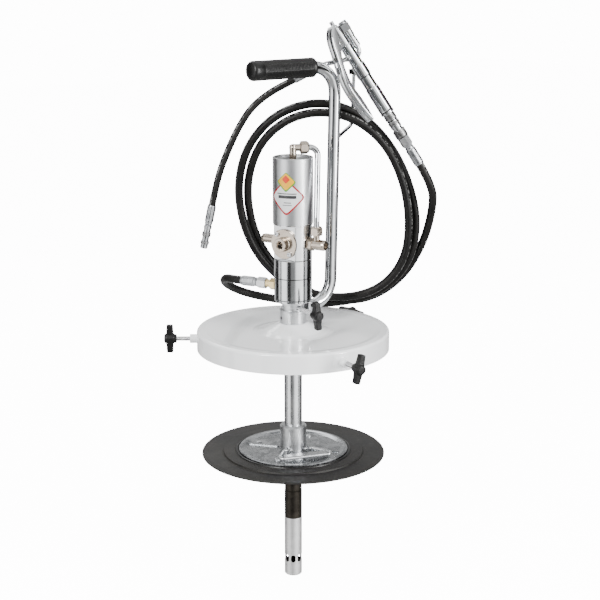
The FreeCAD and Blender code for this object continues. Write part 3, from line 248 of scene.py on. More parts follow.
# painted shade: the inside of the foot is coloured near-black and made rougher, chosen by distance from the pump's
# axis
ft = M["foot"].node_tree
fo = ft.nodes.new("ShaderNodeTexCoord")
fx = ft.nodes.new("ShaderNodeSeparateXYZ")
ft.links.new(fo.outputs["Object"], fx.inputs["Vector"])
fr = maths(ft, "SQRT", maths(ft, "ADD", maths(ft, "MULTIPLY", fx.outputs["X"], fx.outputs["X"]), maths(ft, "MULTIPLY", fx.outputs["Y"], fx.outputs["Y"])))
# painted shade mask: 1 on the bore's inner wall, 0 on the outside of the tube
painted_inner_shade = span(ft, fr, 1.0, 0.0, 0.0136, 0.0146)
fb0 = ft.nodes["Principled BSDF"]
was = fb0.inputs["Base Color"].links[0].from_socket
ft.links.new(blend(ft, painted_inner_shade, was, (0.006, 0.005, 0.004)), fb0.inputs["Base Color"])
rw = fb0.inputs["Roughness"].links[0].from_socket
ft.links.new(maths(ft, "ADD", rw, maths(ft, "MULTIPLY", painted_inner_shade, 0.35)), fb0.inputs["Roughness"])
M["knurl"] = metal("knurled_steel", (0.10, 0.10, 0.10), (0.30, 0.30, 0.30), (0.25, 0.45), grain=(1, 1, 1), grain_scale=700.0, grain_depth=0.00006, cloud=90.0)
M["blackox"] = metal("black_oxide", (0.016, 0.014, 0.012), (0.050, 0.044, 0.037), (0.36, 0.55), grain=(1, 1, 60), grain_scale=26.0, grain_depth=0.00004, cloud=60.0)
M["head"] = metal("cast_head", (0.20, 0.20, 0.20), (0.34, 0.34, 0.34), (0.40, 0.55), grain=(1, 1, 1), grain_scale=500.0, grain_depth=0.00008, cloud=80.0)
M["ground"] = metal("ground_steel", (0.50, 0.50, 0.51), (0.62, 0.62, 0.63), (0.18, 0.28), grain=(1, 1, 200), grain_scale=10.0, cloud=30.0)
M["rubber"] = rubber("black_rubber", (0.0025, 0.0025, 0.0025), (0.007, 0.007, 0.0068), (0.26, 0.40))
M["membrane"] = rubber("membrane_rubber", (0.005, 0.0048, 0.0045), (0.014, 0.013, 0.012), (0.44, 0.62), peel=300.0, depth=0.0001, dust=(0.030, 0.027, 0.023))
M["plastic"] = plastic("black_plastic", (0.003, 0.003, 0.003), (0.007, 0.007, 0.007), (0.38, 0.52))
M["hose"] = hose_rubber("hose_rubber", 26)
M["whip"] = hose_rubber("whip_rubber", 22)


def dress(obj, mat):
    obj.data.materials.clear()
    obj.data.materials.append(M[mat])
    return obj


# ================================================================ cords next
def route_points(name, pts):
    """The smooth line of a route: its points are the control points of one open spline."""
    cu = bpy.data.curves.new(name + "_route", "CURVE")
    cu.dimensions = "3D"
    cu.resolution_u = 24
    sp = cu.splines.new("NURBS")
    sp.points.add(len(pts) - 1)
    for p, q in zip(sp.points, pts):
        p.co = (q[0] * MM, q[1] * MM, q[2] * MM, 1.0)
    sp.order_u = 3
    sp.use_endpoint_u = True
    ob = bpy.data.objects.new(name + "_route", cu)
    bpy.context.scene.collection.objects.link(ob)
    bpy.context.view_layer.update()
    me = bpy.data.meshes.new_from_object(ob.evaluated_get(bpy.context.evaluated_depsgraph_get()))
    out = [v.co.copy() for v in me.vertices]
    bpy.data.objects.remove(ob)
    bpy.data.meshes.remove(me)
    return out


def mesh_object(name, verts, faces, mat=None, smooth=True):
    me = bpy.data.meshes.new(name)
    me.from_pydata([tuple(v) for v in verts], [], faces)
    me.update()
    ob = bpy.data.objects.new(name, me)
    bpy.context.scene.collection.objects.link(ob)
    if smooth:
        for p in me.polygons:
            p.use_smooth = True
    if mat:
        dress(ob, mat)
    return ob


def tube_mesh(name, path, radius, mat, around=36, phase=0.0):
    """A hose swept along a line with a frame that does not twist, with a UV of metres along and once round."""
    n = len(path)
    tang = [(path[min(i + 1, n - 1)] - path[max(i - 1, 0)]).normalized() for i in range(n)]
    up = Vector((0, 0, 1))
    if abs(tang[0].dot(up)) > 0.9:
        up = Vector((1, 0, 0))
    nrm = (up - tang[0] * up.dot(tang[0])).normalized()
    verts, dist, frames = [], [0.0], []
    for i in range(n):
        if i:
            dist.append(dist[-1] + (path[i] - path[i - 1]).length)
            nrm = (nrm - tang[i] * nrm.dot(tang[i])).normalized()
        bi = tang[i].cross(nrm)
        frames.append((nrm.copy(), bi.copy()))
        for k in range(around):
            a = 2 * math.pi * k / around + phase
            verts.append(path[i] + (nrm * math.cos(a) + bi * math.sin(a)) * radius)
    faces = []
    for i in range(n - 1):
        for k in range(around):
            a, b = i * around + k, i * around + (k + 1) % around
            faces.append((a, b, b + around, a + around))
    faces.append(tuple(range(around - 1, -1, -1)))
    faces.append(tuple((n - 1) * around + k for k in range(around)))
    ob = mesh_object(name, verts, faces, mat)
    uv = ob.data.uv_layers.new(name="along")
    for f, poly in enumerate(ob.data.polygons):
        for li in poly.loop_indices:
            vi = ob.data.loops[li].vertex_index
            i, k = divmod(vi, around)
            t = k / around
            if f < (n - 1) * around and f % around == around - 1 and k == 0:
                t = 1.0
            uv.data[li].uv = (dist[i], t)
    ob.data.polygons[-1].use_smooth = False
    ob.data.polygons[-2].use_smooth = False
    return ob


MAIN = [
    (-38.19, 71.83, 74.0), (-50.7, 95.36, 74.0), (-53.5, 122.2, 72.5), (-39.9, 148.9, 59.0), (-13.1, 164.4, 41.5), (19.9, 162.7, 26.0),
    (56.4, 138.1, 16.5), (93.3, 99.9, 11.0), (146.1, 58.9, 11.5), (199.9, 15.2, 31.5), (233.1, -20.6, 85.4), (236.8, -37.1, 157.0),
    (218.5, -34.8, 229.7), (187.1, -21.1, 296.8), (138.9, 0.1, 349.8), (77.3, 32.5, 371.9), (21.7, 76.4, 351.5), (-12.6, 114.2, 296.5),
    (-21.7, 131.9, 224.6), (-8.7, 131.9, 150.9), (23.7, 118.9, 85.3), (73.9, 91.8, 39.0), (134.1, 50.0, 21.5), (187.3, 2.8, 40.1),
    (215.2, -30.8, 95.0), (214.4, -42.6, 169.2), (197.0, -41.2, 243.6), (163.5, -27.8, 308.8), (110.7, 2.6, 350.8), (51.7, 47.6, 353.4),
    (9.1, 93.4, 313.8), (-5.1, 124.4, 247.5), (4.5, 136.9, 173.9), (32.3, 135.3, 105.2), (77.9, 119.9, 48.1), (135.9, 88.7, 12.5),
    (194.7, 45.7, 12.0), (238.2, 4.1, 53.6), (255.4, -30.5, 119.5), (247.2, -62.3, 185.0), (226.62, -84.91, 231.7), (203.02, -67.77, 277.07),
]
WHIP = [
    (48.4, 41.5, 413.3), (34.0, 51.9, 404.1), (5.0, 70.6, 386.6), (-21.4, 87.3, 361.9), (-39.8, 98.3, 328.7),
    (-54.5, 106.5, 293.4), (-67.6, 113.6, 256.6), (-76.1, 117.9, 219.1), (-82.2, 121.1, 186.4),
]


def lay_hose(name, pts, radius, node, mat, phase):
    path = route_points(name, pts)
    ob = tube_mesh(name, path, radius, mat, phase=phase)
    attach(ob, "pump")
    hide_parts(node)
    return ob


hose_a = lay_hose("delivery_hose", MAIN, 0.007, "hose_main", "hose", 0.6)
hose_b = lay_hose("whip_tube", WHIP, 0.0058, "whip_hose", "whip", 2.2)

# ================================================================ finishes on the CAD nodes
FINISH = {
    "enamel": ["drum_cover", "cover_bosses"],
    "zinc": ["cover_collar", "handle_bracket", "union_nuts", "flange_screws", "follower_screws", "follower_collar"],
    "galv": ["follower_plate", "follower_backing", "hose_ferrules", "whip_ferrules", "grease_coupler"],
    "stem": ["stem_tube", "lift_handle"],
    "foot": ["foot_tube"],
    "ground": ["drive_rod", "plunger", "foot_seat", "foot_ball", "lever_pin", "valve_needle", "air_spool", "rim_stud_1", "rim_stud_2", "rim_stud_3", "collar_stud"],
    "turned": ["pump_body", "valve_body", "air_piston"],
    "anodised": ["air_cylinder"],
    "head": ["cylinder_head"],
    "nickel": ["inlet_flange", "silencer", "link_fitting", "top_elbow", "tube_nuts"],
    "brass": ["outlet_nipple", "rod_gland"],
    "chrome": ["handle_tube", "hose_hook", "air_tube", "gun_body", "gun_barrel", "gun_swivel", "gun_lever", "outlet_swivel", "outlet_nut", "whip_pipe"],
    "blackox": ["pump_barrel"],
    "membrane": ["follower_membrane"],
    "rubber": ["handle_grip", "piston_seal", "follower_wiper"],
    "plastic": ["rim_knob_1", "rim_knob_2", "rim_knob_3", "collar_knob"],
}
for mat_name, names in FINISH.items():
    for n in names:
        dress(NODES[n], mat_name)
for n, ob in NODES.items():
    if n in ("hose_main", "whip_hose"):
        dress(ob, "rubber")

# ================================================================ mesh helpers
def set_place(ob, origin, zdir, xdir):
    z = Vector(zdir).normalized()
    x = (Vector(xdir) - z * z.dot(Vector(xdir))).normalized()
    y = z.cross(x)
    m = Matrix(((x.x, y.x, z.x, origin[0] * MM), (x.y, y.y, z.y, origin[1] * MM), (x.z, y.z, z.z, origin[2] * MM), (0, 0, 0, 1)))
    ob.data.transform(m)
    ob.data.update()
    return ob


def crease(ob, angle=32.0):
    for p in ob.data.polygons:
        p.use_smooth = True
    ob.data.set_sharp_from_angle(angle=math.radians(angle))
    return ob


def turned(name, profile, mat, around=64, shape=None, caps=True):
    """Closed turned solid about local Z from (radius, height) pairs in mm; shape(r, z, angle) may vary the radius."""
    verts, faces = [], []
    for r, z in profile:
        for k in range(around):
            a = 2 * math.pi * k / around
            q = shape(r, z, a) if shape else r
            verts.append((q * math.cos(a) * MM, q * math.sin(a) * MM, z * MM))
    n = len(profile)
    for i in range(n - 1):
        for k in range(around):
            a, b = i * around + k, i * around + (k + 1) % around
            faces.append((a, b, b + around, a + around))
    if caps:
        faces.append(tuple(range(around - 1, -1, -1)))
        faces.append(tuple((n - 1) * around + k for k in range(around)))
    ob = mesh_object(name, verts, faces, mat)
    return crease(ob)


def ring(name, profile, mat, around=96, shape=None):
    """Closed ring about local Z: the (radius, height) pairs go once round its section."""
    verts, faces = [], []
    n = len(profile)
    for r, z in profile:
        for k in range(around):
            a = 2 * math.pi * k / around
            q = shape(r, z, a) if shape else r
            verts.append((q * math.cos(a) * MM, q * math.sin(a) * MM, z * MM))
    for i in range(n):
        j = (i + 1) % n
        for k in range(around):
            l = (k + 1) % around
            faces.append((i * around + k, i * around + l, j * around + l, j * around + k))
    ob = mesh_object(name, verts, faces, mat)
    return crease(ob)


def remeshed(ob, voxel, rounds, mat):
    """One skin over joined shapes, smoothed a little so that the edges are moulded."""
    md = ob.modifiers.new("skin", "REMESH")
    md.mode = "VOXEL"
    md.voxel_size = voxel * MM
    sm = ob.modifiers.new("soft", "SMOOTH")
    sm.factor = 0.5
    sm.iterations = rounds
    bpy.context.view_layer.update()
    me = bpy.data.meshes.new_from_object(ob.evaluated_get(bpy.context.evaluated_depsgraph_get()))
    ob.modifiers.clear()
    ob.data = me
    for p in me.polygons:
        p.use_smooth = True
    dress(ob, mat)
    return ob


def merge(name, obs):
    bm = bmesh.new()
    for o in obs:
        bm.from_mesh(o.data)
        bpy.data.objects.remove(o)
    me = bpy.data.meshes.new(name)
    bm.to_mesh(me)
    bm.free()
    ob = bpy.data.objects.new(name, me)
    bpy.context.scene.collection.objects.link(ob)
    return ob


def az(deg):
    return (math.cos(math.radians(deg)), math.sin(math.radians(deg)), 0.0)


# ================================================================ hand knobs and screws
def wing_knob(name):
    hub = turned(name + "_hub", [(6.4, 0.0), (7.3, 0.6), (7.3, 3.2), (8.4, 4.6), (8.6, 16.6), (7.8, 19.4), (5.6, 20.8), (0.4, 21.0)], "plastic", 48)
    verts, faces = [], []
    cuts = [(-23.5, 4.1, 6.8, 15.8), (-22.8, 4.7, 6.1, 16.5), (-20.5, 4.9, 5.9, 16.7), (-14, 5.2, 5.6, 17.0), (-9, 5.6, 5.2, 17.4), (0, 6.6, 4.8, 17.8),
            (9, 5.6, 5.2, 17.4), (14, 5.2, 5.6, 17.0), (20.5, 4.9, 5.9, 16.7), (22.8, 4.7, 6.1, 16.5), (23.5, 4.1, 6.8, 15.8)]
    seg = 32
    for x, hw, z0, z1 in cuts:
        zc, hz = (z0 + z1) / 2, (z1 - z0) / 2
        for k in range(seg):
            t = 2 * math.pi * k / seg
            c, q = math.cos(t), math.sin(t)
            verts.append((x * MM, math.copysign(abs(c) ** 0.28, c) * hw * MM, (zc + math.copysign(abs(q) ** 0.28, q) * hz) * MM))
    for i in range(len(cuts) - 1):
        for k in range(seg):
            a, b = i * seg + k, i * seg + (k + 1) % seg
            faces.append((a, b, b + seg, a + seg))
    faces.append(tuple(range(seg - 1, -1, -1)))
    faces.append(tuple((len(cuts) - 1) * seg + k for k in range(seg)))
    wing = mesh_object(name + "_wing", verts, faces)
    ob = merge(name, [hub, wing])
    return remeshed(ob, 0.6, 2, "plastic")


def threaded(name, length):
    """Stud with a real thread: pitch 1.25 mm, outside radius 4 mm."""
    around, pitch, step = 20, 1.25, 0.3125
    n = int(length / step) + 1
    verts, faces = [], []
    for i in range(n):
        z = length * i / (n - 1)
        end = min(z, length - z)
        for k in range(around):
            a = 2 * math.pi * k / around
            t = (z / pitch - k / around) % 1.0
            r = 3.35 + 0.62 * (1 - abs(2 * t - 1))
            r = min(r, 2.8 + end * 0.9)
            verts.append((r * math.cos(a) * MM, r * math.sin(a) * MM, z * MM))
    for i in range(n - 1):
        for k in range(around):
            a, b = i * around + k, i * around + (k + 1) % around
            faces.append((a, b, b + around, a + around))
    faces.append(tuple(range(around - 1, -1, -1)))
    faces.append(tuple((n - 1) * around + k for k in range(around)))
    return mesh_object(name, verts, faces, "ground")


proto = wing_knob("knob_form")
for i, a in enumerate((144.0, -96.0, 24.0)):
    side = az(a + 90)
    hint = ((0, 0, 1), (side[0] * 0.22, side[1] * 0.22, 1.0), (side[0], side[1], 0.12))[i]
    d = az(a)
    k = bpy.data.objects.new("wing_knob_%d" % (i + 1), proto.data.copy())
    bpy.context.scene.collection.objects.link(k)
    set_place(k, (d[0] * 194.0, d[1] * 194.0, -16.0), d, hint)
    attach(k, "knob_%d" % (i + 1))
    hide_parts("rim_knob_%d" % (i + 1))
    st = set_place(threaded("rim_screw_%d_thread" % (i + 1), 57.0), (d[0] * 153.5, d[1] * 153.5, -16.0), d, (0, 0, 1))
    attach(st, "stud_%d" % (i + 1))
    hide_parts("rim_stud_%d" % (i + 1))
d, side = az(-96.0), az(-6.0)
k = bpy.data.objects.new("wing_knob_4", proto.data.copy())
bpy.context.scene.collection.objects.link(k)
set_place(k, (d[0] * 66.5, d[1] * 66.5, 40.5), d, (side[0] * -0.1, side[1] * -0.1, 1.0))
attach(k, "clamp_knob")
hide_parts("collar_knob")
st = set_place(threaded("collar_screw_thread", 67.5), (d[0] * 15.35, d[1] * 15.35, 40.5), d, (0, 0, 1))
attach(st, "clamp_stud")
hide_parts("collar_stud")
bpy.data.objects.remove(proto)

# ================================================================ ribbed grip
def grip_radius(r, z, a):
    # z runs from the tube end (0) to the free end (122.8)
    if 9.0 < z < 101.0 and r > 15.0:
        lane = abs(math.sin(a * 4.0 + 0.4))
        painted_inner_shade = 1.0 if lane > 0.30 else 0.12
        wave = 0.5 - 0.5 * math.cos(2 * math.pi * (z - 9.0) / 2.8)
        fade = min(1.0, (z - 9.0) / 2.0, (101.0 - z) / 2.0)
        return r - 0.95 * painted_inner_shade * wave * fade
    return r


prof = [(8.9, 0.0), (13.6, 0.0), (15.2, 0.8), (16.0, 2.2), (16.0, 6.0), (15.4, 7.2), (15.4, 8.4)]
zz = 9.0
while zz < 101.0:
    prof.append((15.9, zz))
    zz += 0.4
prof += [(15.4, 101.6), (15.4, 102.6), (16.0, 103.6), (16.0, 116.0), (15.6, 118.6), (14.2, 120.8), (11.6, 122.2), (6.0, 122.7), (0.3, 122.8)]
grip = set_place(turned("ribbed_grip", prof, "rubber", 128, grip_radius, caps=True), (40.0, 0.0, 430.0), (-1, 0, 0), (0, 0, 1))
crease(grip, 50)
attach(grip, "pump")
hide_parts("handle_grip")

# ================================================================ plain label on the air cylinder (no lettering)
def flat_paint(name, col, rough):
    m, nt, b = tree(name)
    c = noise(nt, coords(nt), 300.0, 2.0)
    lo = tuple(v * 0.93 for v in col)
    nt.links.new(ramp(nt, c, [(0.3, lo), (0.7, col)]), b.inputs["Base Color"])
    nt.links.new(span(nt, c, rough, rough + 0.08, 0.3, 0.7), b.inputs["Roughness"])
    return m


M["label_red"] = flat_paint("label_red", (0.30, 0.002, 0.006), 0.34)
M["label_white"] = flat_paint("label_white", (0.66, 0.67, 0.68), 0.30)
M["label_grey"] = flat_paint("label_grey", (0.022, 0.022, 0.024), 0.38)
M["label_yellow"] = flat_paint("label_yellow", (0.72, 0.36, 0.0), 0.34)
M["label_green"] = flat_paint("label_green", (0.05, 0.26, 0.01), 0.34)
M["label_orange"] = flat_paint("label_orange", (0.55, 0.035, 0.0), 0.34)
CYL_R, LABEL_AZ = 33.0, -145.0


def rounded_diamond(w, h, r, n=14):
    """Outline of a diamond with rounded corners, half-width w and half-height h."""
    corners = [(w, 0), (0, h), (-w, 0), (0, -h)]
    out = []
    for i in range(4):
        p0, p1, p2 = Vector(corners[i - 1]), Vector(corners[i]), Vector(corners[(i + 1) % 4])
        u, v = (p0 - p1).normalized(), (p2 - p1).normalized()
        a, b = p1 + u * r, p1 + v * r
        for k in range(n):
            t = k / (n - 1)
            q = a * (1 - t) ** 2 + p1 * 2 * t * (1 - t) + b * t ** 2
            out.append(q)
        nx = p2 + (p1 - p2).normalized() * r
        for k in range(1, 9):
            out.append(b.lerp(nx, k / 9))
    return out


def decal(name, outline, cx, cz, lift, mat, rings=7, hole=None):
    """A thin printed patch laid on the cylinder; the outline is in mm along the arc and up."""
    verts, faces = [], []
    n = len(outline)
    scales = [1.0 - i / rings for i in range(rings)] if hole is None else [1.0, (1.0 + hole) / 2, hole]
    for sc in scales:
        for q in outline:
            a = math.radians(LABEL_AZ) + (cx + q.x * sc) / CYL_R
            rr = CYL_R + lift
            verts.append((rr * math.cos(a) * MM, rr * math.sin(a) * MM, (cz + q.y * sc) * MM))
    for i in range(len(scales) - 1):
        for k in range(n):
            l = (k + 1) % n
            faces.append((i * n + k, i * n + l, (i + 1) * n + l, (i + 1) * n + k))
    if hole is None:
        a = math.radians(LABEL_AZ) + cx / CYL_R
        rr = CYL_R + lift
        verts.append((rr * math.cos(a) * MM, rr * math.sin(a) * MM, cz * MM))
        c = len(verts) - 1
        base = (len(scales) - 1) * n
        for k in range(n):
            faces.append((base + k, base + (k + 1) % n, c))
    ob = mesh_object(name, verts, faces, mat)
    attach(ob, "pump")
    return ob


def bar(name, w, h, cx, cz, lift, mat):
    verts, faces = [], []
    n = 16
    for j in (0, 1):
        for i in range(n + 1):
            a = math.radians(LABEL_AZ) + (cx - w / 2 + w * i / n) / CYL_R
            rr = CYL_R + lift
            verts.append((rr * math.cos(a) * MM, rr * math.sin(a) * MM, (cz - h / 2 + h * j) * MM))
    for i in range(n):
        faces.append((i, i + 1, i + n + 2, i + n + 1))
    ob = mesh_object(name, verts, faces, mat)
    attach(ob, "pump")
    return ob


big = rounded_diamond(32.5, 31.0, 6.5)
decal("label_border", big, 0, 227.5, 0.10, "label_red")
decal("label_field", rounded_diamond(28.6, 27.3, 5.6), 0, 227.5, 0.16, "label_white")
bar("label_line_top", 34.0, 1.6, 0, 233.2, 0.22, "label_grey")
bar("label_band", 31.0, 5.0, 1.0, 228.0, 0.22, "label_grey")
bar("label_line_low", 12.0, 1.3, 2.0, 218.6, 0.22, "label_grey")
bar("label_line_foot", 15.0, 1.1, 1.5, 214.6, 0.22, "label_grey")
small = rounded_diamond(17.0, 16.5, 3.4)
decal("label_badge_edge", small, -0.5, 252.0, 0.24, "label_green")
decal("label_badge", rounded_diamond(14.8, 14.4, 3.0), -0.5, 252.8, 0.30, "label_yellow")
decal("label_badge_core", rounded_diamond(7.0, 7.0, 2.4), -0.5, 256.5, 0.36, "label_orange")

# ================================================================ small details
GJ = Vector((132.92, -16.84, 412.17))
GS = Vector((0.43674, -0.31731, -0.84177))
GU = Vector((-0.8959, -0.2382, -0.3750))


def knurl(r, z, a):
    return r + 0.32 * (0.5 + 0.5 * math.cos(a * 30 + z * 2.6)) * (0.5 + 0.5 * math.cos(a * 30 - z * 2.6))


def gun_ring(name, s0, s1, r_in, r_out, mat, shape=None, around=120, steps=1):
    pr = [(r_in, s0), (r_out - 0.25, s0), (r_out, s0 + 0.3)]
    for i in range(1, steps):
        pr.append((r_out, s0 + 0.3 + (s1 - s0 - 0.6) * i / steps))
    pr += [(r_out, s1 - 0.3), (r_out - 0.25, s1), (r_in, s1)]
    fn = (lambda r, z, a: knurl(r, z, a) if r > r_out - 0.1 else r) if shape else None
    ob = ring(name, pr, mat, around, fn)
    set_place(ob, tuple(GJ), tuple(GS), tuple(GU))
    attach(ob, "pump")
    return ob


gun_ring("swivel_knurl", 74.2, 83.6, 8.62, 9.7, "knurl", shape=True, steps=14)
gun_ring("swivel_seal", 84.6, 86.2, 8.62, 9.3, "rubber")
gun_ring("swivel_band", 88.0, 93.4, 8.62, 9.5, "knurl", shape=True, steps=10)
gun_ring("union_knurl", 104.3, 117.2, 9.88, 10.35, "knurl", shape=True, steps=18)
gun_ring("union_seal", 117.4, 118.8, 9.6, 10.1, "rubber")
gun_ring("barrel_seal", 66.9, 68.4, 10.62, 11.2, "rubber")
gun_ring("body_seal", 0.2, 1.3, 10.2, 10.95, "rubber")


def axis_ring(name, z0, z1, r_in, r_out, mat, body="pump"):
    ob = ring(name, [(r_in, z0), (r_out - 0.05, z0), (r_out, z0 + 0.1), (r_out, z1 - 0.1), (r_out - 0.05, z1), (r_in, z1)], mat, 128)
    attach(ob, body)
    return ob


axis_ring("body_groove_seal", 90.35, 90.95, 30.2, 31.0, "rubber")
axis_ring("body_joint_seal", 121.05, 121.75, 30.0, 30.95, "rubber")
axis_ring("body_foot_groove", 53.95, 54.5, 29.4, 30.2, "rubber")


def crimp(name, length, r, origin, zdir, xdir):
    """Crimp marks pressed into a hose sleeve: ten long flats between two rings."""
    def fn(q, z, a):
        if q < r:
            return q
        mid = max(0.0, min(1.0, (z - 8.0) / 1.5, (length - 4.0 - z) / 1.5))
        return q - 0.34 * mid * (0.5 + 0.5 * math.cos(a * 10)) ** 3
    pr = [(r - 0.12, 6.4), (r + 0.30, 6.8), (r + 0.38, 7.4)]
    n = 14
    for i in range(n + 1):
        pr.append((r + 0.38, 7.6 + (length - 11.0) * i / n))
    pr += [(r + 0.30, length - 3.0), (r - 0.12, length - 2.6)]
    ob = ring(name, pr, "galv", 140, fn)
    set_place(ob, origin, zdir, xdir)
    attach(ob, "pump")
    return ob


o_dir = Vector(az(118.0))
crimp("outlet_crimp", 29.5, 8.1, tuple(o_dir * 66.5 + Vector((0, 0, 74.0))), tuple(o_dir), (0, 0, 1))
crimp("gun_crimp", 35.6, 8.1, tuple(GJ + GS * 136.8), tuple(GS), tuple(GU))
w_end = Vector(WHIP[-1])
w_dir = (w_end - Vector(WHIP[-2])).normalized()
crimp("whip_crimp", 34.0, 6.9, tuple(w_end + w_dir * 19.8), tuple(-w_dir), (1, 0, 0))


def coupler_ring(name, z0, z1, r_in, r_out, mat, steps):
    pr = [(r_in, z0), (r_out - 0.2, z0), (r_out, z0 + 0.25)]
    for i in range(1, steps):
        pr.append((r_out, z0 + 0.25 + (z1 - z0 - 0.5) * i / steps))
    pr += [(r_out, z1 - 0.25), (r_out - 0.2, z1), (r_in, z1)]
    ob = ring(name, pr, mat, 100, lambda r, z, a: knurl(r, z, a) if r > r_out - 0.1 else r)
    set_place(ob, tuple(w_end + w_dir * 19.82), tuple(w_dir), (1, 0, 0))
    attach(ob, "pump")


coupler_ring("coupler_knurl", 12.3, 19.1, 6.6, 6.95, "knurl", 12)
coupler_ring("coupler_band", 28.0, 31.8, 6.8, 7.1, "knurl", 8)

# socket screw in the collar
grub = turned("collar_socket_screw", [(0.0, 18.3), (2.72, 18.3), (2.72, 19.9), (2.5, 20.1), (1.35, 20.1), (1.3, 19.3), (0.0, 19.2)], "rubber", 36, caps=False)
set_place(grub, (0, 0, 22.0), tuple(az(172.0)), (0, 0, 1))
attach(grub, "cover")

# ================================================================ trigger lever: a pressed channel with rolled edges and a rib
WEB = [(6.4, -98.2), (13.0, -95.0), (20.0, -88.5), (25.4, -80.0), (29.4, -70.4), (34.2, -57.0), (39.8, -43.7), (47.0, -24.0), (51.6, -8.0), (52.6, 6.0), (51.4, 25.6), (49.6, 42.0), (46.8, 56.0), (44.0, 63.5)]
INNER = [(3.4, -96.6), (8.2, -92.6), (10.6, -84.0), (11.6, -74.5), (19.0, -72.5), (20.8, -63.0), (23.4, -57.0), (30.8, -46.0), (37.0, -32.0), (41.8, -14.0), (43.4, 2.0), (40.8, 22.0), (40.4, 38.0), (41.0, 54.0), (42.6, 62.5)]


def resample(pts, n):
    q = [Vector(p) for p in pts]
    acc = [0.0]
    for i in range(1, len(q)):
        acc.append(acc[-1] + (q[i] - q[i - 1]).length)
    out, j = [], 0
    for i in range(n):
        t = acc[-1] * i / (n - 1)
        while j < len(acc) - 2 and acc[j + 1] < t:
            j += 1
        f = (t - acc[j]) / max(acc[j + 1] - acc[j], 1e-9)
        out.append(q[j].lerp(q[j + 1], min(max(f, 0), 1)))
    for _ in range(1):
        out = [out[0]] + [(out[k - 1] + out[k] * 2 + out[k + 1]) / 4 for k in range(1, n - 1)] + [out[-1]]
    return out


NS = 64
wl = resample(WEB, NS)
# the flange edge: where a line square to the web meets the inner outline
il = []
inner = [Vector(p) for p in INNER]
for i in range(NS):
    t = (wl[min(i + 1, NS - 1)] - wl[max(i - 1, 0)]).normalized()
    nrm = Vector((-t.y, t.x))
    best = None
    for a, b in zip(inner, inner[1:]):
        d = b - a
        den = nrm.x * d.y - nrm.y * d.x
        if abs(den) < 1e-9:
            continue
        w = a - wl[i]
        h = (w.x * d.y - w.y * d.x) / den
        k = (w.x * nrm.y - w.y * nrm.x) / den
        if -0.02 <= k <= 1.02 and 0.2 < h < 30 and (best is None or h < best):
            best = h
    il.append((nrm, best if best else 1.8))
depths = [d for _, d in il]
for _ in range(3):
    depths = [depths[0]] + [min(depths[k], (depths[k - 1] + 2 * depths[k] + depths[k + 1]) / 4) for k in range(1, NS - 1)] + [depths[-1]]
verts, faces = [], []
sec = None
for i in range(NS):
    nrm, D = il[i][0], max(depths[i], 1.9)
    th = min(1.4, 0.6 * D)
    r = min(3.2, 0.85 * D)
    loop = []
    hw = 9.0
    loop.append((-hw, D))
    loop.append((-hw, (D + r) / 2))
    for k in range(7):
        a = math.pi / 2 * k / 6
        loop.append((-hw + r * (1 - math.cos(a)), r * (1 - math.sin(a))))
    top = []
    for k in range(1, 14):
        y = -hw + r + (2 * hw - 2 * r) * k / 14
        top.append((y, min(0.8, 0.3 * D) * math.exp(-(y / 1.9) ** 2)))
    loop += top
    for k in range(7):
        a = math.pi / 2 * (6 - k) / 6
        loop.append((hw - r * (1 - math.cos(a)), r * (1 - math.sin(a))))
    loop.append((hw, (D + r) / 2))
    loop.append((hw, D))
    inn = []
    ri = max(r - th, 0.3)
    inn.append((hw - th, D))
    inn.append((hw - th, (D + th + ri) / 2 if D > th + ri else D * 0.98))
    for k in range(5):
        a = math.pi / 2 * k / 4
        inn.append((hw - th - ri * (1 - math.cos(a)), min(th + ri * (1 - math.sin(a)), D * 0.97)))
    for k in range(1, 8):
        y = (hw - th - ri) - 2 * (hw - th - ri) * k / 8
        inn.append((y, min(th, D * 0.97)))
    for k in range(5):
        a = math.pi / 2 * (4 - k) / 4
        inn.append((-hw + th + ri * (1 - math.cos(a)), min(th + ri * (1 - math.sin(a)), D * 0.97)))
    inn.append((-hw + th, (D + th + ri) / 2 if D > th + ri else D * 0.98))
    inn.append((-hw + th, D))
    ring_pts = loop + inn
    sec = len(ring_pts)
    for y, d in ring_pts:
        q = wl[i] + nrm * d
        verts.append((q.x, y, q.y))
for i in range(NS - 1):
    for k in range(sec):
        l = (k + 1) % sec
        faces.append((i * sec + k, i * sec + l, (i + 1) * sec + l, (i + 1) * sec + k))
faces.append(tuple(range(sec)))
faces.append(tuple((NS - 1) * sec + k for k in range(sec - 1, -1, -1)))
lever = mesh_object("trigger_channel", [(x * MM, y * MM, z * MM) for x, y, z in verts], faces, "chrome")
bm = bmesh.new()
bm.from_mesh(lever.data)
bmesh.ops.recalc_face_normals(bm, faces=bm.faces)
bm.to_mesh(lever.data)
bm.free()
crease(lever, 40)
set_place(lever, tuple(GJ), tuple(GS), tuple(GU))
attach(lever, "trigger")
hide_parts("gun_lever")

# partly painted shade: a raised membrane lip, made in blacker rubber than the membrane so that it stands in for the
# dark shade line round the plate's edge
bead = ring("membrane_lip_painted_shade", [(92.6, 0.0), (93.4, 1.7), (95.2, 2.2), (97.0, 1.6), (97.9, 0.0)], "rubber", 160)
BEAD_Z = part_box("follower_plate")[0][2] / MM
set_place(bead, (0, 0, BEAD_Z), (0, 0, 1), (1, 0, 0))
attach(bead, "follower")

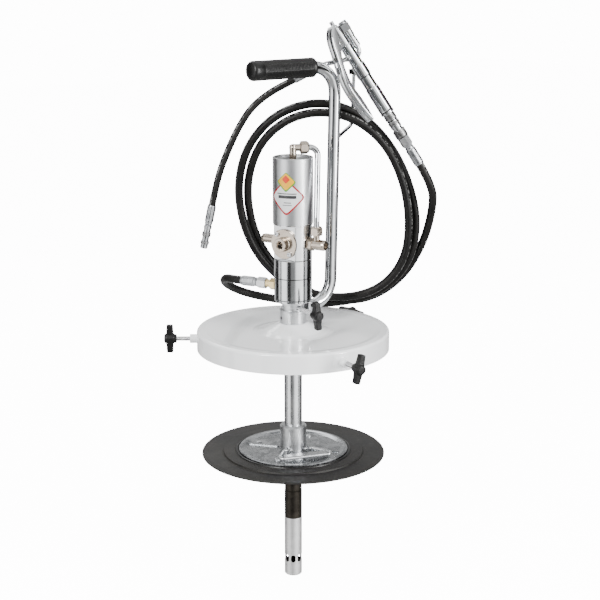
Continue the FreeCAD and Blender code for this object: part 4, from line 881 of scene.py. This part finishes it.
# ================================================================ floor, light
FLOOR_Z = -0.4376
fm, nt, fb = tree("pale_floor")
nt.links.new(ramp(nt, noise(nt, coords(nt), 1.5, 2.0), [(0.3, (0.92, 0.92, 0.92)), (0.7, (0.94, 0.94, 0.94))]), fb.inputs["Base Color"])
fb.inputs["Roughness"].default_value = 0.8
fb.inputs["Specular IOR Level"].default_value = 0.1
fb.inputs["Emission Color"].default_value = (1.0, 1.0, 1.0, 1.0)
fb.inputs["Emission Strength"].default_value = 12.5
floor = mesh_object("floor", [(-8, -8, FLOOR_Z), (8, -8, FLOOR_Z), (8, 8, FLOOR_Z), (-8, 8, FLOOR_Z)], [(0, 1, 2, 3)], smooth=False)
floor.data.materials.append(fm)
floor.visible_glossy = False
floor.visible_diffuse = False

world = bpy.data.worlds.new("studio")
bpy.context.scene.world = world
world.use_nodes = True
wn = world.node_tree
bg = wn.nodes["Background"]
wout = wn.nodes["World Output"]
# a pale studio with a few upright dark cards round it, which give bright metal its dark lines
sky = wn.nodes.new("ShaderNodeTexCoord")
sxyz = wn.nodes.new("ShaderNodeSeparateXYZ")
wn.links.new(sky.outputs["Generated"], sxyz.inputs["Vector"])
turn = maths(wn, "ARCTAN2", sxyz.outputs["Y"], sxyz.outputs["X"])
rel = maths(wn, "FRACT", maths(wn, "ADD", maths(wn, "DIVIDE", turn, 2 * math.pi), 125.7 / 360.0 + 1.0))
CARDS = [
    (0.000, 0.55), (0.030, 0.55), (0.060, 3.6), (0.176, 4.4), (0.184, 0.01), (0.214, 0.01), (0.222, 1.9), (0.256, 1.4), (0.266, 0.01),
    (0.350, 0.01), (0.365, 0.8), (0.500, 1.0), (0.640, 0.8), (0.652, 0.01), (0.726, 0.01), (0.736, 1.7), (0.766, 2.0), (0.773, 0.015),
    (0.792, 0.015), (0.799, 3.8), (0.890, 3.8), (0.900, 0.03), (0.956, 0.03), (0.970, 0.5),
]
cr = wn.nodes.new("ShaderNodeValToRGB")
while len(cr.color_ramp.elements) < len(CARDS):
    cr.color_ramp.elements.new(0.5)
for e, (pos, v) in zip(cr.color_ramp.elements, CARDS):
    e.position = pos
    e.color = (v, v, v, 1.0)
wn.links.new(rel, cr.inputs["Fac"])
up = sxyz.outputs["Z"]
rise = wn.nodes.new("ShaderNodeValToRGB")
RISE = [(0.0, 1.0), (0.30, 1.0), (0.37, 0.35), (0.45, 0.35), (0.53, 1.0), (0.80, 0.9), (1.0, 0.8)]
while len(rise.color_ramp.elements) < len(RISE):
    rise.color_ramp.elements.new(0.5)
for e, (pos, v) in zip(rise.color_ramp.elements, RISE):
    e.position = pos
    e.color = (v, v, v, 1.0)
wn.links.new(up, rise.inputs["Fac"])
# the cards stand up to about 40 degrees; above them the studio is even
high = span(wn, up, 0.0, 1.0, 0.55, 0.75)
low = span(wn, up, 1.0, 0.0, -0.60, -0.30)
cards = blend(wn, low, blend(wn, high, cr.outputs["Color"], (2.3, 2.3, 2.3)), (0.9, 0.9, 0.9))
env = wn.nodes.new("ShaderNodeMix")
env.data_type = "RGBA"
env.blend_type = "MULTIPLY"
env.inputs["Factor"].default_value = 1.0
wn.links.new(cards, env.inputs["A"])
wn.links.new(rise.outputs["Color"], env.inputs["B"])
wn.links.new(env.outputs["Result"], bg.inputs["Color"])
bg.inputs["Strength"].default_value = 0.80
plain = wn.nodes.new("ShaderNodeBackground")
plain.inputs["Color"].default_value = (1.0, 1.0, 1.0, 1.0)
plain.inputs["Strength"].default_value = 14.0
lp = wn.nodes.new("ShaderNodeLightPath")
pick = wn.nodes.new("ShaderNodeMixShader")
wn.links.new(lp.outputs["Is Camera Ray"], pick.inputs["Fac"])
wn.links.new(bg.outputs["Background"], pick.inputs[1])
wn.links.new(plain.outputs["Background"], pick.inputs[2])
wn.links.new(pick.outputs["Shader"], wout.inputs["Surface"])


def area(name, loc, target, size, power, color=(1, 1, 1)):
    d = bpy.data.lights.new(name, "AREA")
    d.shape = "RECTANGLE"
    d.size, d.size_y = size
    d.energy = power
    d.color = color
    o = bpy.data.objects.new(name, d)
    bpy.context.scene.collection.objects.link(o)
    o.location = loc
    o.rotation_euler = (Vector(target) - Vector(loc)).to_track_quat("-Z", "Y").to_euler()
    return o


area("key", (-2.0, -0.8, 1.2), (0, 0, 0.1), (0.5, 1.2), 58)
area("fill", (0.9, -2.1, 0.6), (0, 0, 0.0), (0.4, 1.6), 66)
area("rear", (0.4, 2.0, 1.8), (0, 0, 0.2), (1.6, 1.0), 18)

bpy.context.view_layer.update()
